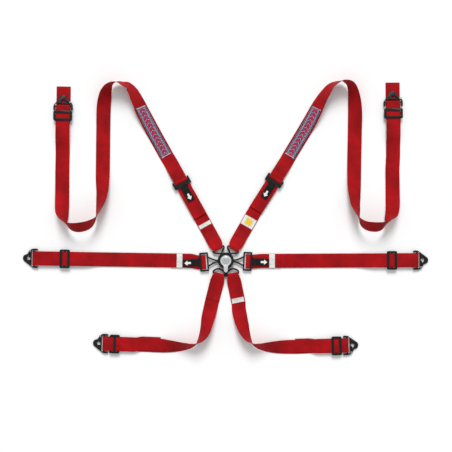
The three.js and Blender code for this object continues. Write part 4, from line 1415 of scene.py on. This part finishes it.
@dataclass
class CrotchBelt(Belt):
    """One crotch strap on the shared yoke, with its sewn end and bracket."""

    labelled: bool
    sewn_out: float = 72 * MM
    sewn_size: tuple[float, float] = (34 * MM, 21 * MM)
    seam_out: float = 93 * MM
    seam_half: float = 22 * MM
    label_out: float = 100 * MM
    label_size: tuple[float, float] = (17 * MM, 43 * MM)

    def build(self) -> None:
        """Makes the strap."""
        tag = self.side.tag
        strap = self.webbing("crotch_strap", "crotch_strap")
        bar, axis = joint_line(self.frame, f"crotch_strap_{tag}_pivot")
        way = UP.cross(axis)
        sewn = bar + way * self.sewn_out
        strap.load_stitching(f"crotch_stitching_{tag}", sewn.x, sewn.y, *self.sewn_size)
        close = bar + way * self.seam_out
        # Dark seam where the top layer ends: painted shade for the step's shade line.
        strap.cross_seam(f"crotch_cross_seam_{tag}", close.x, close.y, self.seam_half)
        if self.labelled:
            spot = bar + way * self.label_out
            strap.label(f"crotch_label_{tag}", spot.x, spot.y, *self.label_size)
        strap.declare(50 * MM, [self.floor])
        self.ends("crotch", tab=False)


# ---------------------------------------------------------------- studio


@dataclass
class Studio:
    """White paper under the harness, a broad soft key from the shoulder end, and the camera."""

    target: tuple[float, float] = (0.7 * MM, 122 * MM)
    distance: float = 3.0
    view_width: float = 1604.6 * MM
    paper_size: float = 60.0
    paper_height: float = -1.0 * MM
    key_elevation: float = 42.0
    key_strength: float = 2.4
    key_softness: float = 26.0
    fill_strength: float = 0.62

    def build(self) -> Object:
        """Sets the studio up.

        Returns:
            The paper, which the straps lie on.
        """
        self.camera()
        self.lights()
        bpy.context.scene.view_settings.view_transform = "Standard"
        return self.paper()

    def camera(self) -> None:
        """Hangs the camera straight above the harness."""
        data = bpy.data.cameras.new("camera")
        data.sensor_width = 36.0
        data.lens = data.sensor_width * self.distance / self.view_width
        data.clip_end = 50.0
        made = placed("camera", data)
        made.location = (*self.target, self.distance)
        bpy.context.scene.camera = made

    def lights(self) -> None:
        """Makes the key light and an even fill from all round."""
        data = bpy.data.lights.new("key", "SUN")
        data.energy = self.key_strength
        data.angle = math.radians(self.key_softness)
        key = placed("key", data)
        key.rotation_euler = (math.radians(self.key_elevation - 90), 0.0, 0.0)
        world = bpy.data.worlds.new("fill")
        world.use_nodes = True
        background = world.node_tree.nodes["Background"]
        background.inputs["Color"].default_value = (1.0, 1.0, 1.0, 1.0)
        background.inputs["Strength"].default_value = self.fill_strength
        bpy.context.scene.world = world

    def paper(self) -> Object:
        """Rolls out the background paper."""
        half = self.paper_size / 2
        work = bmesh.new()
        corners = [(-half, -half), (half, -half), (half, half), (-half, half)]
        work.faces.new([work.verts.new((x, y, self.paper_height)) for x, y in corners])
        made = piece_from("background_paper", work, smooth=False)
        made.data.materials.append(PAPER.material())
        return made


def main() -> None:
    """Builds the harness round the frame, sub-assembly by sub-assembly."""
    logging.basicConfig(level=logging.INFO, format="%(name)s: %(message)s")
    for leftover in list(bpy.data.objects):
        bpy.data.objects.remove(leftover)
    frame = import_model()
    floor = Studio().build()
    CamLockBuckle(frame).build()
    eased("crotch_yoke", 0.45 * MM, BLACK_STEEL, frame)
    for side in Side:
        LapBelt(side, frame, floor).build()
    ShoulderBelt(Side.LEFT, frame, floor).build()
    ShoulderBelt(
        Side.RIGHT,
        frame,
        floor,
        label_spot=(81 * MM, 136 * MM),
        label_size=(36 * MM, 46 * MM),
        sticker=23 * MM,
    ).build()
    CrotchBelt(Side.LEFT, frame, floor, labelled=False).build()
    CrotchBelt(Side.RIGHT, frame, floor, labelled=True).build()


if __name__ == "__main__":
    main()
